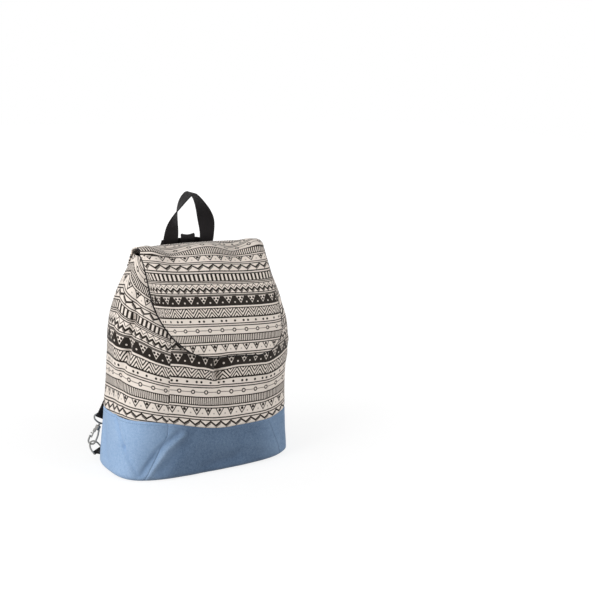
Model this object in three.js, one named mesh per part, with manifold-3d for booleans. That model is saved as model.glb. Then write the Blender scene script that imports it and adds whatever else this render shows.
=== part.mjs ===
// Backpack with a flap, a grab handle and a hook-on strap. Millimetres, +Z up, front towards -Y.
import * as THREE from "three";
import { mergeVertices } from "three/addons/utils/BufferGeometryUtils.js";
import Module from "manifold-3d";

const wasm = await Module();
wasm.setup();

// Body
const WIDTH = 332;
const DEPTH = 171;
const TOP_Z = 388;
const TOP_WIDTH = 225;
const TOP_DEPTH = 44;
const TOP_BACK_Y = 37;
const MOUTH_Z = 374;
const SHOULDER_Z = 228;
const TAPER = 1.7;
const BASE_FLARE = 5.6;
const FLARE_Z = 90;
const SEAM_Z = 79.5;
const SEAM_LEFT = { rise: 27.5, from: -20, to: 150 };
const SEAM_RIGHT = { rise: 9, from: 90, to: 166 };
const EDGE_R = 11;
const BASE_SQUARENESS = 3.4;
const TOP_SQUARENESS = 2.85;
const FRONT_TURN = [45, 33].map(THREE.MathUtils.degToRad);
const BACK_TURN = Math.PI / 4;
const WALL = 2.4;
const GAP = 0.4;

// Flap
const FLAP_THICK = 2.6;
const FLAP_STANDOFF = 4.2;
const FLAP_TAIL_Z = 350;
const FLAP_FOLD_Z = 375;
const FLAP_END_Z = 212;
const FLAP_TOP_HALF = 119.5;
const FLAP_END_HALF = 128;
const FLAP_WIDENING = 150;
const FLAP_CORNER = { left: [100, 80], right: [72, 70] };
const FLAP_ASKEW = 28;
const FLAP_EDGE_LIFT = 1.6;
const PIPING_R = 1.3;

// Handle and the loop band at its feet
const HANDLE_WIDTH = 29;
const HANDLE_THICK = 2.2;
const HANDLE_SPACING = 73;
const HANDLE_Y = 41;
const HANDLE_TOP_Z = 471;
const HANDLE_LAY = 5.4;
const CREST_Z = 364;
const BAND_HALF = 52;
const BAND_RUN = [-2, 24];
const BAND_THICK = 2;
const BAND_BOW = 3.5;

// Strap, tabs and hardware
const STRAP_WIDTH = 25;
const STRAP_THICK = 3.2;
const STRAP_IN = 7.1;
const STRAP_OUT = 14.7;
const STRAP_BEND = new THREE.Vector3(-65, 92, 215);
const WIRE_R = 1.5;
const SLEEVE_R = 3.6;
const SLEEVE_BORE = 1.95;
const RING_HALF = 15.5;
const TAB_WIDTH = 24;
const RING_REACH = 19.5;
const LOWER_TAB_ROOT = new THREE.Vector3(-146, 66, 12);
const LOWER_TAB_REACH = 13;
const LOWER_TAB_OUT = new THREE.Vector3(-0.6, 0.8, 0);
const LOWER_RING_TILT = THREE.MathUtils.degToRad(50);
const UPPER_TAB_X = 108;
const UPPER_BAR_Z = 347;
const HOOK_SEAT = -26.1;
const EYE_BAR = 21.5;
const SLIDER_START = 52;
const SNAP_Z = 232;
const SNAP_R = 7;
const SNAP_THICK = 1.3;

const { lerp, clamp, smoothstep } = THREE.MathUtils;
const vec = (x, y, z) => new THREE.Vector3(x, y, z);
const Y_AXIS = vec(0, 1, 0);
const Z_AXIS = vec(0, 0, 1);

const printed = new THREE.MeshStandardMaterial({ color: 0xded2c6, roughness: 0.9 });
const denim = new THREE.MeshStandardMaterial({ color: 0x5b84b4, roughness: 0.9 });
const webbing = new THREE.MeshStandardMaterial({ color: 0x1c1b1d, roughness: 0.8 });
const nickel = new THREE.MeshStandardMaterial({ color: 0xc9c9c6, metalness: 1, roughness: 0.3 });

const part = new THREE.Group();
part.name = "backpack";

// The body's level section: a rounded rectangle that narrows from the shoulder to the top
function section(z) {
  const ease = clamp((z - SHOULDER_Z) / (TOP_Z - SHOULDER_Z), 0, 1.05) ** TAPER;
  const under = clamp(1 - z / EDGE_R, 0, 1);
  const tuck = EDGE_R * (1 - Math.sqrt(1 - under * under));
  const back = lerp(DEPTH / 2, TOP_BACK_Y, ease);
  const front = lerp(-DEPTH / 2, TOP_BACK_Y - TOP_DEPTH, ease);
  const flare = BASE_FLARE * Math.max(0, 1 - z / FLARE_Z);
  return {
    a: lerp(WIDTH / 2, TOP_WIDTH / 2, ease) + flare - tuck,
    b: (back - front) / 2 - tuck,
    yc: (back + front) / 2,
    n: lerp(BASE_SQUARENESS, TOP_SQUARENESS, smoothstep(z, 0, 230)),
  };
}

// The seam between denim and print sags in the middle and sits highest on the left side
const risen = ({ rise, from, to }, x) => rise * smoothstep(x, from, to);
const seamAt = (x) => SEAM_Z + risen(SEAM_LEFT, -x) + risen(SEAM_RIGHT, x);

// Where the front or the back wall stands at x and z, or a skin some way outside it
function frontY(x, z, away = 0) {
  const { a, b, yc, n } = section(z);
  return yc - (b + away) * Math.max(0, 1 - Math.abs(x / (a + away)) ** n) ** (1 / n);
}

function backY(x, z, away) {
  return 2 * section(z).yc - frontY(x, z, away);
}

// A level distance that gives the asked clearance from the leaning front
function lean(z, clearance) {
  const slope = frontY(0, z + 1) - frontY(0, z);
  return clearance * Math.hypot(1, slope);
}

// The front's corner seams start on the bottom corners; above, the side panels wrap onto the front
const frontTurn = (z) => lerp(...FRONT_TURN, clamp(z / SEAM_Z, 0, 1));

// A point of one wall; across runs -1 to 1 from corner seam to corner seam
function wallPoint(wall, across, z, inset) {
  const { a, b, yc, n } = section(z);
  const wide = frontTurn(z);
  const round = lerp(wide, Math.PI - BACK_TURN, (across + 1) / 2);
  const turns = { front: across * wide, back: Math.PI + across * BACK_TURN, right: round, left: -round };
  const [s, c] = [Math.sin(turns[wall]), Math.cos(turns[wall])];
  const reach = (Math.abs(s) ** n + Math.abs(c) ** n) ** (-1 / n);
  return vec(reach * s * (a - inset), yc - reach * c * (b - inset), z);
}

// Turns a closed geometry outward where its volume comes out negative
function outward(geometry) {
  const p = geometry.attributes.position;
  const index = geometry.index;
  const [a, b, c] = [vec(), vec(), vec()];
  let volume = 0;
  for (let i = 0; i < index.count; i += 3) {
    a.fromBufferAttribute(p, index.getX(i));
    b.fromBufferAttribute(p, index.getX(i + 1));
    c.fromBufferAttribute(p, index.getX(i + 2));
    volume += a.dot(b.cross(c));
  }
  if (volume < 0) {
    for (let i = 0; i < index.count; i += 3) {
      const keep = index.getX(i);
      index.setX(i, index.getX(i + 1));
      index.setX(i + 1, keep);
    }
  }
  return geometry;
}

function fromFaces(points, faces) {
  const geometry = new THREE.BufferGeometry();
  geometry.setFromPoints(points);
  geometry.setIndex(faces);
  return outward(geometry);
}

// A closed body between two grids of points, rows by columns; a ring closes its rows
function sheet(outer, inner, ring = false) {
  const rows = outer.length;
  const cols = outer[0].length;
  const points = [...outer.flat(), ...inner.flat()];
  const at = (layer, i, j) => layer * rows * cols + (i % rows) * cols + j;
  const faces = [];
  const quad = (p, q, r, s) => faces.push(p, q, r, p, r, s);
  const last = ring ? rows : rows - 1;
  for (let i = 0; i < last; i++) {
    for (let j = 0; j < cols - 1; j++) {
      quad(at(0, i, j), at(0, i + 1, j), at(0, i + 1, j + 1), at(0, i, j + 1));
      quad(at(1, i, j), at(1, i, j + 1), at(1, i + 1, j + 1), at(1, i + 1, j));
    }
    quad(at(0, i, 0), at(1, i, 0), at(1, i + 1, 0), at(0, i + 1, 0));
    quad(at(0, i, cols - 1), at(0, i + 1, cols - 1), at(1, i + 1, cols - 1), at(1, i, cols - 1));
  }
  for (let j = 0; j < cols - 1 && !ring; j++) {
    const end = rows - 1;
    quad(at(0, 0, j), at(0, 0, j + 1), at(1, 0, j + 1), at(1, 0, j));
    quad(at(0, end, j), at(1, end, j), at(1, end, j + 1), at(0, end, j + 1));
  }
  return fromFaces(points, faces);
}

function gridNormals(grid) {
  return grid.map((row, i) =>
    row.map((_, j) => {
      const along = grid[Math.min(i + 1, grid.length - 1)][j].clone().sub(grid[Math.max(i - 1, 0)][j]);
      const across = row[Math.min(j + 1, row.length - 1)].clone().sub(row[Math.max(j - 1, 0)]);
      return along.cross(across).normalize();
    })
  );
}

function thicken(grid, thickness) {
  const normals = gridNormals(grid);
  const layer = (side) =>
    grid.map((row, i) => row.map((p, j) => p.clone().addScaledVector(normals[i][j], (side * thickness) / 2)));
  return sheet(layer(1), layer(-1));
}

// Flat webbing along a line of points, each with its own width direction
function ribbon(points, widths, width, thickness) {
  const tangent = (i) =>
    points[Math.min(i + 1, points.length - 1)].clone().sub(points[Math.max(i - 1, 0)]).normalize();
  const edge = (i, side, face) => {
    const w = widths[i].clone().normalize();
    const n = tangent(i).cross(w).normalize();
    const along = points[i].clone().addScaledVector(w, (side * width) / 2);
    return along.addScaledVector(n, (face * thickness) / 2);
  };
  const face = (side) => points.map((_, i) => [edge(i, -1, side), edge(i, 1, side)]);
  return sheet(face(1), face(-1));
}

const steps = (count, from, to) => Array.from({ length: count + 1 }, (_, i) => lerp(from, to, i / count));

function bare(geometry) {
  const copy = geometry.clone();
  copy.deleteAttribute("normal");
  copy.deleteAttribute("uv");
  return outward(mergeVertices(copy, 1e-4));
}

function toSolid(geometry) {
  const g = bare(geometry);
  const vertProperties = new Float32Array(g.attributes.position.array);
  const triVerts = new Uint32Array(g.index.array);
  return new wasm.Manifold(new wasm.Mesh({ numProp: 3, vertProperties, triVerts }));
}

function toGeometry(solid) {
  const mesh = solid.getMesh();
  const geometry = new THREE.BufferGeometry();
  geometry.setAttribute("position", new THREE.BufferAttribute(new Float32Array(mesh.vertProperties), 3));
  geometry.setIndex(new THREE.BufferAttribute(new Uint32Array(mesh.triVerts), 1));
  return geometry;
}

const join = (...geometries) => geometries.map(toSolid).reduce((all, next) => all.add(next));
const cut = (solid, ...tools) => tools.map(toSolid).reduce((left, next) => left.subtract(next), solid);

const smoothCurve = (points, closed = false) => new THREE.CatmullRomCurve3(points, closed, "centripetal");
const plan = (...points) => new THREE.Shape(points.map(([x, y]) => new THREE.Vector2(x, y)));

// Round wire or cord with flat ends along a curve
function wire(path, radius, count, curveSegments) {
  const round = new THREE.Shape().absarc(0, 0, radius, 0, 2 * Math.PI);
  const options = { steps: count, curveSegments, bevelEnabled: false, extrudePath: path };
  return new THREE.ExtrudeGeometry(round, options);
}

// Closed loop of round wire through half its points and their mirror images, from foot to crown
function wireLoop(foot, side, crown) {
  const other = side.map((p) => vec(-p.x, p.y, 0)).reverse();
  const loop = smoothCurve([vec(0, foot, 0), ...side, vec(0, crown, 0), ...other], true);
  return new THREE.TubeGeometry(loop, 30, WIRE_R, 7, true);
}

function add(parent, name, geometry, material) {
  geometry.computeVertexNormals();
  const mesh = new THREE.Mesh(geometry, material);
  mesh.name = name;
  parent.add(mesh);
  return mesh;
}

// A group whose own X and Y point along the given directions
function placed(parent, origin, xAxis, yAxis) {
  const group = new THREE.Group();
  const basis = new THREE.Matrix4().makeBasis(xAxis, yAxis, xAxis.clone().cross(yAxis));
  group.position.copy(origin);
  group.quaternion.setFromRotationMatrix(basis);
  parent.add(group);
  return group;
}

function rod(radius, length, sides = 12) {
  return new THREE.CylinderGeometry(radius, radius, length, sides);
}

// Wall panels, in rows of heights that follow the seam
const BASE_ROWS = [0, 1.2, 3.5, 7, EDGE_R, 34, 57, SEAM_Z - GAP / 2];
const UPPER_ROWS = steps(12, SEAM_Z + GAP / 2, MOUTH_Z);

function rowHeight(row, x) {
  const seam = seamAt(x);
  if (row <= EDGE_R) return row;
  if (row < SEAM_Z) return lerp(EDGE_R, seam, (row - EDGE_R) / (SEAM_Z - EDGE_R));
  return lerp(seam, MOUTH_Z, (row - SEAM_Z) / (MOUTH_Z - SEAM_Z));
}

function panel(name, wall, rows, cols, material) {
  const { a, b } = section(SEAM_Z);
  const trim = 1 - GAP / (wall === "front" || wall === "back" ? a : b);
  const column = (across, inset) => {
    const x = wallPoint(wall, across, SEAM_Z, 0).x;
    return rows.map((row) => wallPoint(wall, across, rowHeight(row, x), inset));
  };
  const grid = (inset) => steps(cols, -trim, trim).map((across) => column(across, inset));
  add(part, name, sheet(grid(0), grid(WALL)), material);
}

for (const wall of ["front", "back", "left", "right"]) {
  const cols = wall === "front" || wall === "back" ? 11 : 10;
  const label = wall === "front" || wall === "back" ? `${wall}_panel` : `${wall}_side_panel`;
  panel(`base_${label}`, wall, BASE_ROWS, cols, denim);
  panel(label, wall, UPPER_ROWS, cols, printed);
}

function outline(z, inset, count) {
  const around = [];
  for (const wall of ["front", "right", "back", "left"]) {
    const flip = wall === "left" ? -1 : 1;
    for (let i = 0; i < count; i++) around.push(wallPoint(wall, flip * lerp(-1, 1, i / count), z, inset));
  }
  return around;
}

function bottomPanel() {
  const shape = new THREE.Shape(outline(0, WALL + 1, 12).map((p) => new THREE.Vector2(p.x, p.y)));
  return new THREE.ExtrudeGeometry(shape, { depth: WALL, bevelEnabled: false });
}
add(part, "bottom_panel", bare(bottomPanel()), denim);

// Black tape inside the mouth's rim
function mouthTape() {
  const heights = [MOUTH_Z - 14, MOUTH_Z - 7, MOUTH_Z - GAP];
  const ring = (inset) => {
    const loops = heights.map((z) => outline(z, inset, 8));
    return loops[0].map((_, i) => loops.map((loop) => loop[i]));
  };
  return sheet(ring(WALL + 1.2), ring(WALL + 2.4), true);
}
add(part, "mouth_tape", mouthTape(), webbing);

// Flap: up the back, over the mouth and down the front, one column of points per across value.
// It lies askew, its left corner drawn up
function flapEnd(across) {
  const [wide, high] = FLAP_CORNER[across < 0 ? "left" : "right"];
  const flat = 1 - wide / FLAP_END_HALF;
  const q = clamp((Math.abs(across) - flat) / (1 - flat), 0, 1);
  const askew = FLAP_ASKEW * across * lerp(0.25, 1, across * across);
  return FLAP_END_Z + high * (1 - Math.sqrt(1 - q * q)) - askew;
}

const FLAP_BACK = 3;
const FLAP_ARCH = 8;
const FLAP_FRONT = 12;

function flapColumn(across) {
  const end = flapEnd(across);
  const narrowed = (z) => clamp((z - FLAP_END_Z) / FLAP_WIDENING, 0, 1);
  const half = (z) => across * lerp(FLAP_END_HALF, FLAP_TOP_HALF, narrowed(z));
  const x = half(FLAP_FOLD_Z);
  const front = (px, z) => frontY(px, z, lean(z, FLAP_STANDOFF + FLAP_THICK / 2));
  const back = (z) => backY(x, z, 3 * GAP + FLAP_THICK / 2 + FLAP_EDGE_LIFT * across ** 4);
  const mid = (back(FLAP_FOLD_Z) + front(x, FLAP_FOLD_Z)) / 2;
  const reach = (back(FLAP_FOLD_Z) - front(x, FLAP_FOLD_Z)) / 2;
  const rise = (TOP_Z - FLAP_THICK / 2 - FLAP_FOLD_Z) * (1 - 0.3 * across * across);
  const tail = steps(FLAP_BACK, FLAP_TAIL_Z, FLAP_FOLD_Z).map((z) => vec(x, back(z), z));
  const arch = steps(FLAP_ARCH, 0, Math.PI)
    .slice(1, -1)
    .map((t) => vec(x, mid + reach * Math.cos(t), FLAP_FOLD_Z + rise * Math.sin(t)));
  const drop = steps(FLAP_FRONT, FLAP_FOLD_Z, end).map((z) => vec(half(z), front(half(z), z), z));
  return [...tail, ...arch, ...drop];
}

const flapGrid = steps(16, -1, 1).map((t) => flapColumn(Math.sign(t) * Math.abs(t) ** 0.8));
add(part, "flap", thicken(flapGrid, FLAP_THICK), printed);

// Piping along the flap's free edges, just clear of it
function piping() {
  const normals = gridNormals(flapGrid);
  const first = FLAP_BACK + Math.round(FLAP_ARCH * 0.6);
  const [lastCol, lastRow] = [flapGrid.length - 1, flapGrid[0].length - 1];
  const edge = [];
  for (let j = first; j < lastRow; j++) edge.push([0, j]);
  for (let i = 0; i <= lastCol; i++) edge.push([i, lastRow]);
  for (let j = lastRow - 1; j >= first; j--) edge.push([lastCol, j]);
  const points = edge.map(([i, j], k) => {
    const [pi, pj] = edge[Math.max(k - 1, 0)];
    const [ni, nj] = edge[Math.min(k + 1, edge.length - 1)];
    const along = flapGrid[ni][nj].clone().sub(flapGrid[pi][pj]);
    const out = along.cross(normals[i][j]).normalize();
    if (out.dot(flapGrid[i][j].clone().sub(vec(0, 0, 300))) < 0) out.negate();
    return flapGrid[i][j].clone().addScaledVector(out, PIPING_R + GAP);
  });
  return wire(smoothCurve(points), PIPING_R, 52, 3);
}
add(part, "flap_piping", bare(piping()), webbing);

// Magnetic snap between the front panel and the flap
function snap(name, offset) {
  const y = frontY(0, SNAP_Z);
  const slope = vec(0, frontY(0, SNAP_Z + 1) - y, 1).normalize();
  const out = vec(1, 0, 0).cross(slope);
  const group = placed(part, vec(0, y, SNAP_Z).addScaledVector(out, offset), vec(1, 0, 0), out);
  add(group, name, bare(rod(SNAP_R, SNAP_THICK, 20)), nickel);
}
snap("snap_socket", 0.35 + SNAP_THICK / 2);
snap("snap_stud", 0.7 + SNAP_THICK * 1.5);

// Frame on the back of the flap's tail: s runs up the slope, h stands off from the back
const crestFoot = vec(0, backY(0, CREST_Z, 0), CREST_Z);
const crestUp = vec(0, backY(0, CREST_Z + 6, 0) - backY(0, CREST_Z - 6, 0), 12).normalize();
const crestOut = crestUp.clone().cross(vec(1, 0, 0));
const crest = (x, s, h) =>
  crestFoot.clone().addScaledVector(crestUp, s).addScaledVector(crestOut, h).setX(x);

// Grab handle: its outer face turns to the hand at the top of the arch
function handle() {
  const half = HANDLE_SPACING / 2;
  const left = [
    crest(-half, -12, HANDLE_LAY),
    crest(-half, 8, HANDLE_LAY),
    crest(-half, 25, HANDLE_LAY),
    vec(-half * 0.92, HANDLE_Y, HANDLE_TOP_Z - 54),
    vec(-half * 0.62, HANDLE_Y, HANDLE_TOP_Z - 25),
    vec(-half * 0.26, HANDLE_Y, HANDLE_TOP_Z - 6),
  ];
  const right = left.map((p) => vec(-p.x, p.y, p.z)).reverse();
  const curve = smoothCurve([...left, vec(0, HANDLE_Y, HANDLE_TOP_Z), ...right]);
  const points = curve.getSpacedPoints(36);
  const widths = points.map((p, i) => {
    const along = curve.getTangentAt(i / 36);
    const side = Y_AXIS.clone().cross(along).normalize();
    const turned = along.cross(side);
    const turn = (Math.PI / 2) * smoothstep(p.z, TOP_Z + 2, HANDLE_TOP_Z);
    return side.multiplyScalar(Math.cos(turn)).addScaledVector(turned, Math.sin(turn));
  });
  return ribbon(points, widths, HANDLE_WIDTH, HANDLE_THICK);
}
add(part, "carry_handle", handle(), webbing);

function loopBand() {
  const lay = HANDLE_LAY + (HANDLE_THICK + BAND_THICK) / 2 + 1.5 * GAP;
  const inner = HANDLE_SPACING / 2 - HANDLE_WIDTH / 2 + 1;
  const bowed = (x) => lay + BAND_BOW * (1 - smoothstep(Math.abs(x), inner * 0.72, inner + 7));
  const grid = steps(20, -BAND_HALF, BAND_HALF).map((x) => BAND_RUN.map((s) => crest(x, s, bowed(x))));
  return thicken(grid, BAND_THICK);
}
add(part, "strap_loop_band", loopBand(), webbing);

// Lower corner, left side: tab root, ring seat and the line that the strap pulls along
const tabAlong = LOWER_TAB_OUT.clone().cross(Z_AXIS).normalize();
const ringPivot = LOWER_TAB_ROOT.clone().addScaledVector(LOWER_TAB_OUT, LOWER_TAB_REACH);
const ringOut = LOWER_TAB_OUT.clone()
  .multiplyScalar(Math.cos(LOWER_RING_TILT))
  .addScaledVector(Z_AXIS, Math.sin(LOWER_RING_TILT));
const ringSeat = ringPivot.clone().addScaledVector(ringOut, RING_REACH);
const pull = STRAP_BEND.clone().sub(ringSeat).normalize();
const strapFoot = ringSeat.clone().addScaledVector(pull, EYE_BAR - HOOK_SEAT);
const hookOrigin = ringSeat.clone().addScaledVector(pull, -HOOK_SEAT);
const strapNormal = Y_AXIS.clone().addScaledVector(pull, -pull.y).normalize();
const strapAcross = strapNormal.clone().cross(pull).negate();
const mirrored = (v) => vec(-v.x, v.y, v.z);

function sleeve(width, radius, sides = 16) {
  return rod(radius, width, sides).rotateZ(Math.PI / 2);
}

// Strap: up the left, through the loop band, over it and down the right
function strand(lay) {
  const over = (x, z, h) => vec(x, backY(x, z, 0), z).addScaledVector(z > 300 ? crestOut : Y_AXIS, h);
  return smoothCurve([
    strapFoot.clone().lerp(STRAP_BEND, 0.75),
    STRAP_BEND,
    over(-40, 262, 8.5),
    over(-20, 305, 8.5),
    over(-9, 335, 8),
    crest(-4.2, BAND_RUN[0] - 6, lay),
    crest(-3, BAND_RUN[1] + 0.8, lay),
  ]);
}

function strap() {
  const radius = (STRAP_OUT - STRAP_IN) / 2;
  const points = [];
  const straight = steps(3, 0, 0.75).slice(0, -1);
  for (const t of straight) points.push(strapFoot.clone().lerp(STRAP_BEND, t));
  points.push(...strand(STRAP_IN).getSpacedPoints(20).slice(0, -1));
  for (const t of steps(8, Math.PI, 0)) {
    const rise = BAND_RUN[1] + 0.8 + radius * Math.sin(t);
    points.push(crest(lerp(3, -3, t / Math.PI), rise, STRAP_IN + radius * (1 + Math.cos(t))));
  }
  points.push(...strand(STRAP_OUT).getSpacedPoints(20).slice(0, -1).reverse().map(mirrored));
  for (const t of straight.reverse()) points.push(mirrored(strapFoot.clone().lerp(STRAP_BEND, t)));
  const foot = mirrored(strapFoot);
  const bendAt = points.reduce((best, p, i) => (p.z > points[best].z ? i : best), 0);
  const flat = (i) => (i < bendAt ? strapNormal.clone().negate() : mirrored(strapNormal));
  const normals = points.map((p, i) => {
    const along = points[Math.min(i + 1, points.length - 1)].clone().sub(points[Math.max(i - 1, 0)]);
    const level = p.z > CREST_Z + 20 ? vec(1, 0, 0).cross(along).normalize() : flat(i);
    return level;
  });
  const widths = points.map((_, i) => {
    const along = points[Math.min(i + 1, points.length - 1)].clone().sub(points[Math.max(i - 1, 0)]);
    return normals[i].clone().cross(along).normalize();
  });
  const ends = [strapFoot, foot].map((origin, i) => {
    const across = i ? mirrored(strapAcross) : strapAcross;
    const turn = new THREE.Quaternion().setFromUnitVectors(vec(1, 0, 0), across);
    const at = (radiusHere, extra) =>
      sleeve(STRAP_WIDTH + extra, radiusHere).applyQuaternion(turn).translate(origin.x, origin.y, origin.z);
    return [at(SLEEVE_R, 0), at(SLEEVE_BORE, 4)];
  });
  const whole = join(ribbon(points, widths, STRAP_WIDTH, STRAP_THICK), ends[0][0], ends[1][0]);
  return toGeometry(cut(whole, ends[0][1], ends[1][1]));
}
add(part, "shoulder_strap", strap(), webbing);

// Wire D-ring: its straight bar lies on the local X axis, its bow reaches along +Y
function ring() {
  const side = [
    vec(RING_HALF - 2.6, 0, 0),
    vec(RING_HALF - 0.5, 1.9, 0),
    vec(RING_HALF, 5.5, 0),
    vec(RING_HALF * 0.87, 12.4, 0),
    vec(RING_HALF * 0.5, 17.7, 0),
  ];
  return bare(wireLoop(0, side, RING_REACH));
}

// Webbing tab folded round the ring's bar; it reaches along -Y to its root
function tab(length) {
  const plate = new THREE.BoxGeometry(TAB_WIDTH, length, STRAP_THICK).translate(0, -length / 2 - 1, 0);
  return cut(join(plate, sleeve(TAB_WIDTH, SLEEVE_R)), sleeve(TAB_WIDTH + 4, SLEEVE_BORE));
}

// Space that the base takes up, a little larger, to trim the lower tabs to
function baseEnvelope() {
  const loops = BASE_ROWS.map((z) => outline(z, -0.6, 12));
  const points = [...loops.flat(), vec(0, 0, 0), vec(0, 0, SEAM_Z)];
  const count = loops[0].length;
  const faces = [];
  for (let i = 0; i < count; i++) {
    const k = (i + 1) % count;
    for (let j = 0; j < loops.length - 1; j++) {
      const [p, q] = [j * count, (j + 1) * count];
      faces.push(p + i, p + k, q + k, p + i, q + k, q + i);
    }
    const top = (loops.length - 1) * count;
    faces.push(k, i, points.length - 2, top + i, top + k, points.length - 1);
  }
  return fromFaces(points, faces);
}

// Swivel eye: webbing loop with a riveted post in the hook's collar
function swivelEye() {
  const side = [
    vec(7.5, 10.9, 0),
    vec(13.5, 13.7, 0),
    vec(15.8, 17.4, 0),
    vec(15.3, 20.6, 0),
    vec(13.1, EYE_BAR, 0),
  ];
  const post = rod(1.8, 8.6).translate(0, 5.6, 0);
  const head = rod(3, 2, 14).translate(0, 2, 0);
  return toGeometry(join(wireLoop(9.9, side, EYE_BAR), post, head));
}

// Hook body: hollow collar on top, J of round wire, two cheeks and the gate's pin
const GATE_PIVOT = vec(3.4, -7, 0);

function hookBody() {
  const profile = [
    [2.3, 5], [2.3, 3.4], [3.4, 3.4], [3.4, -3.5], [4.9, -3.5], [4.9, 4.2], [4.2, 5], [2.3, 5],
  ].map(([r, y]) => new THREE.Vector2(r, y));
  const collar = new THREE.LatheGeometry(profile, 18);
  const bend = steps(6, Math.PI, 2 * Math.PI).map((t) => vec(6.5 * Math.cos(t), -24 + 6.5 * Math.sin(t), 0));
  const line = [vec(-4.2, -2.2, 0), vec(-4.9, -6, 0), vec(-6.4, -13, 0), ...bend, vec(6.5, -16.5, 0)];
  const shank = wire(smoothCurve(line), 1.6, 22, 4);
  const cheek = (z) => new THREE.BoxGeometry(4, 6.4, 1.2).translate(GATE_PIVOT.x, -5.8, z);
  const pin = rod(0.8, 5.6, 10).rotateX(Math.PI / 2).translate(GATE_PIVOT.x, GATE_PIVOT.y, 0);
  return toGeometry(join(collar, shank, cheek(2.3), cheek(-2.3), pin));
}

// Sprung gate, closed against the inside of the hook's tip
function hookGate() {
  const boss = rod(2.1, 2.6, 14).rotateX(Math.PI / 2);
  const bar = new THREE.BoxGeometry(2.2, 13, 2.4).translate(0, -6.5, 0);
  const knob = rod(1.3, 3.4, 10).rotateZ(Math.PI / 2).translate(2.4, -5, 0);
  const bore = rod(1.15, 6, 12).rotateX(Math.PI / 2);
  const whole = cut(join(boss, bar, knob), bore);
  return toGeometry(whole).translate(GATE_PIVOT.x, GATE_PIVOT.y, 0);
}

const envelope = baseEnvelope();

function cornerHardware(side) {
  const group = new THREE.Group();
  group.scale.x = side === "left" ? 1 : -1;
  part.add(group);
  const lowerTab = placed(group, ringPivot, tabAlong, LOWER_TAB_OUT);
  lowerTab.updateMatrix();
  const base = envelope.clone().applyMatrix4(lowerTab.matrix.clone().invert());
  const trimmed = cut(tab(LOWER_TAB_REACH + 6), base);
  const pieces = trimmed.decompose().sort((p, q) => q.volume() - p.volume());
  add(lowerTab, `lower_tab_${side}`, toGeometry(pieces[0]), webbing);
  add(placed(group, ringPivot, tabAlong, ringOut), `lower_ring_${side}`, ring(), nickel);

  const upperPivot = vec(-UPPER_TAB_X, section(UPPER_BAR_Z + 20).yc, UPPER_BAR_Z);
  const down = Z_AXIS.clone().negate();
  add(placed(group, upperPivot, Y_AXIS, down), `upper_tab_${side}`, toGeometry(tab(24)), webbing);
  add(placed(group, upperPivot, Y_AXIS, down), `upper_ring_${side}`, ring(), nickel);

  add(placed(group, hookOrigin, strapAcross, pull), `swivel_eye_${side}`, swivelEye(), nickel);
  const bowNormal = tabAlong.clone().addScaledVector(pull, -tabAlong.dot(pull)).normalize();
  const hook = placed(group, hookOrigin, pull.clone().cross(bowNormal), pull);
  add(hook, `hook_body_${side}`, hookBody(), nickel);
  add(hook, `hook_gate_${side}`, hookGate(), nickel);
}
cornerHardware("left");
cornerHardware("right");

// Slider on the right strand: two bars over the webbing, one behind it, joined by cheeks
function slider() {
  const cheekShape = plan([-10.5, 2.2], [10.5, 2.2], [10.5, 4], [9.5, 5.2], [-9.5, 5.2], [-10.5, 4]);
  const hub = plan([-9, 2.4], [9, 2.4], [1.6, -5.2], [-1.6, -5.2]);
  const cheek = (shape, x) =>
    new THREE.ExtrudeGeometry(shape, { depth: 2.6, bevelEnabled: false })
      .applyMatrix4(new THREE.Matrix4().makeBasis(Y_AXIS, Z_AXIS, vec(1, 0, 0)))
      .translate(x, 0, 0);
  const bar = (y, z) => rod(WIRE_R, 31, 10).rotateZ(Math.PI / 2).translate(0, y, z);
  const sides = [-15.8, 13.2].flatMap((x) => [cheek(cheekShape, x), cheek(hub, x)]);
  return toGeometry(join(...sides, bar(-8.8, 3.7), bar(8.8, 3.7), bar(0, -3.7)));
}
const sliderAt = mirrored(strapFoot.clone().addScaledVector(pull, SLIDER_START));
const sliderUp = mirrored(pull);
const sliderAcross = sliderUp.clone().cross(mirrored(strapNormal)).normalize();
add(placed(part, sliderAt, sliderAcross, sliderUp), "strap_slider", slider(), nickel);

export default part;
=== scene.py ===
"""Looks of a printed canvas backpack with a denim base, built round its packed frame. Metres, +Z up."""

import math
from collections import namedtuple

import bmesh
import bpy
import numpy as np
from bpy.props import FloatProperty, FloatVectorProperty, PointerProperty
from bpy.types import Operator, Panel, PropertyGroup
from mathutils import Matrix, Vector


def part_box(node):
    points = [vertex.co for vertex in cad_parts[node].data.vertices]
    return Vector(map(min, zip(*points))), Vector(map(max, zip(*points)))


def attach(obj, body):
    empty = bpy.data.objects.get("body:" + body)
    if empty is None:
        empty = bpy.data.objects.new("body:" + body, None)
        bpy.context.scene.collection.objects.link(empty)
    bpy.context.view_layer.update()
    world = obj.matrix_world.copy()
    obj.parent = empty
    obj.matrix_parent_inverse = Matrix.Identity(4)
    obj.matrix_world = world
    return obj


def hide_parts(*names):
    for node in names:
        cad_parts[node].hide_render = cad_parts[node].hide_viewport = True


bl_info = {
    "name": "Printed Canvas Backpack",
    "version": (1, 0, 0),
    "blender": (4, 5, 0),
    "location": "View3D > Sidebar > Backpack",
    "description": "Builds a canvas backpack with a band print, a denim base, webbing and snap hooks",
    "category": "Object",
}

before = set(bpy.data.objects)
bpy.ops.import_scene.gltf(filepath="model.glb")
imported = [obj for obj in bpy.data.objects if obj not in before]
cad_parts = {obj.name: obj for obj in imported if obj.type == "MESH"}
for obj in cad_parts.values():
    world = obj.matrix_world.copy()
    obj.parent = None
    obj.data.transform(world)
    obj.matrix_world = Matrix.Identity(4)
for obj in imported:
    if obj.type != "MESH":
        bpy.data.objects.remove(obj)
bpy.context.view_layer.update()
MM = 0.001

# Names of the finishes
PRINTED, DENIM, WEBBING, NICKEL = "printed_canvas", "denim_canvas", "black_webbing", "nickel"

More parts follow.
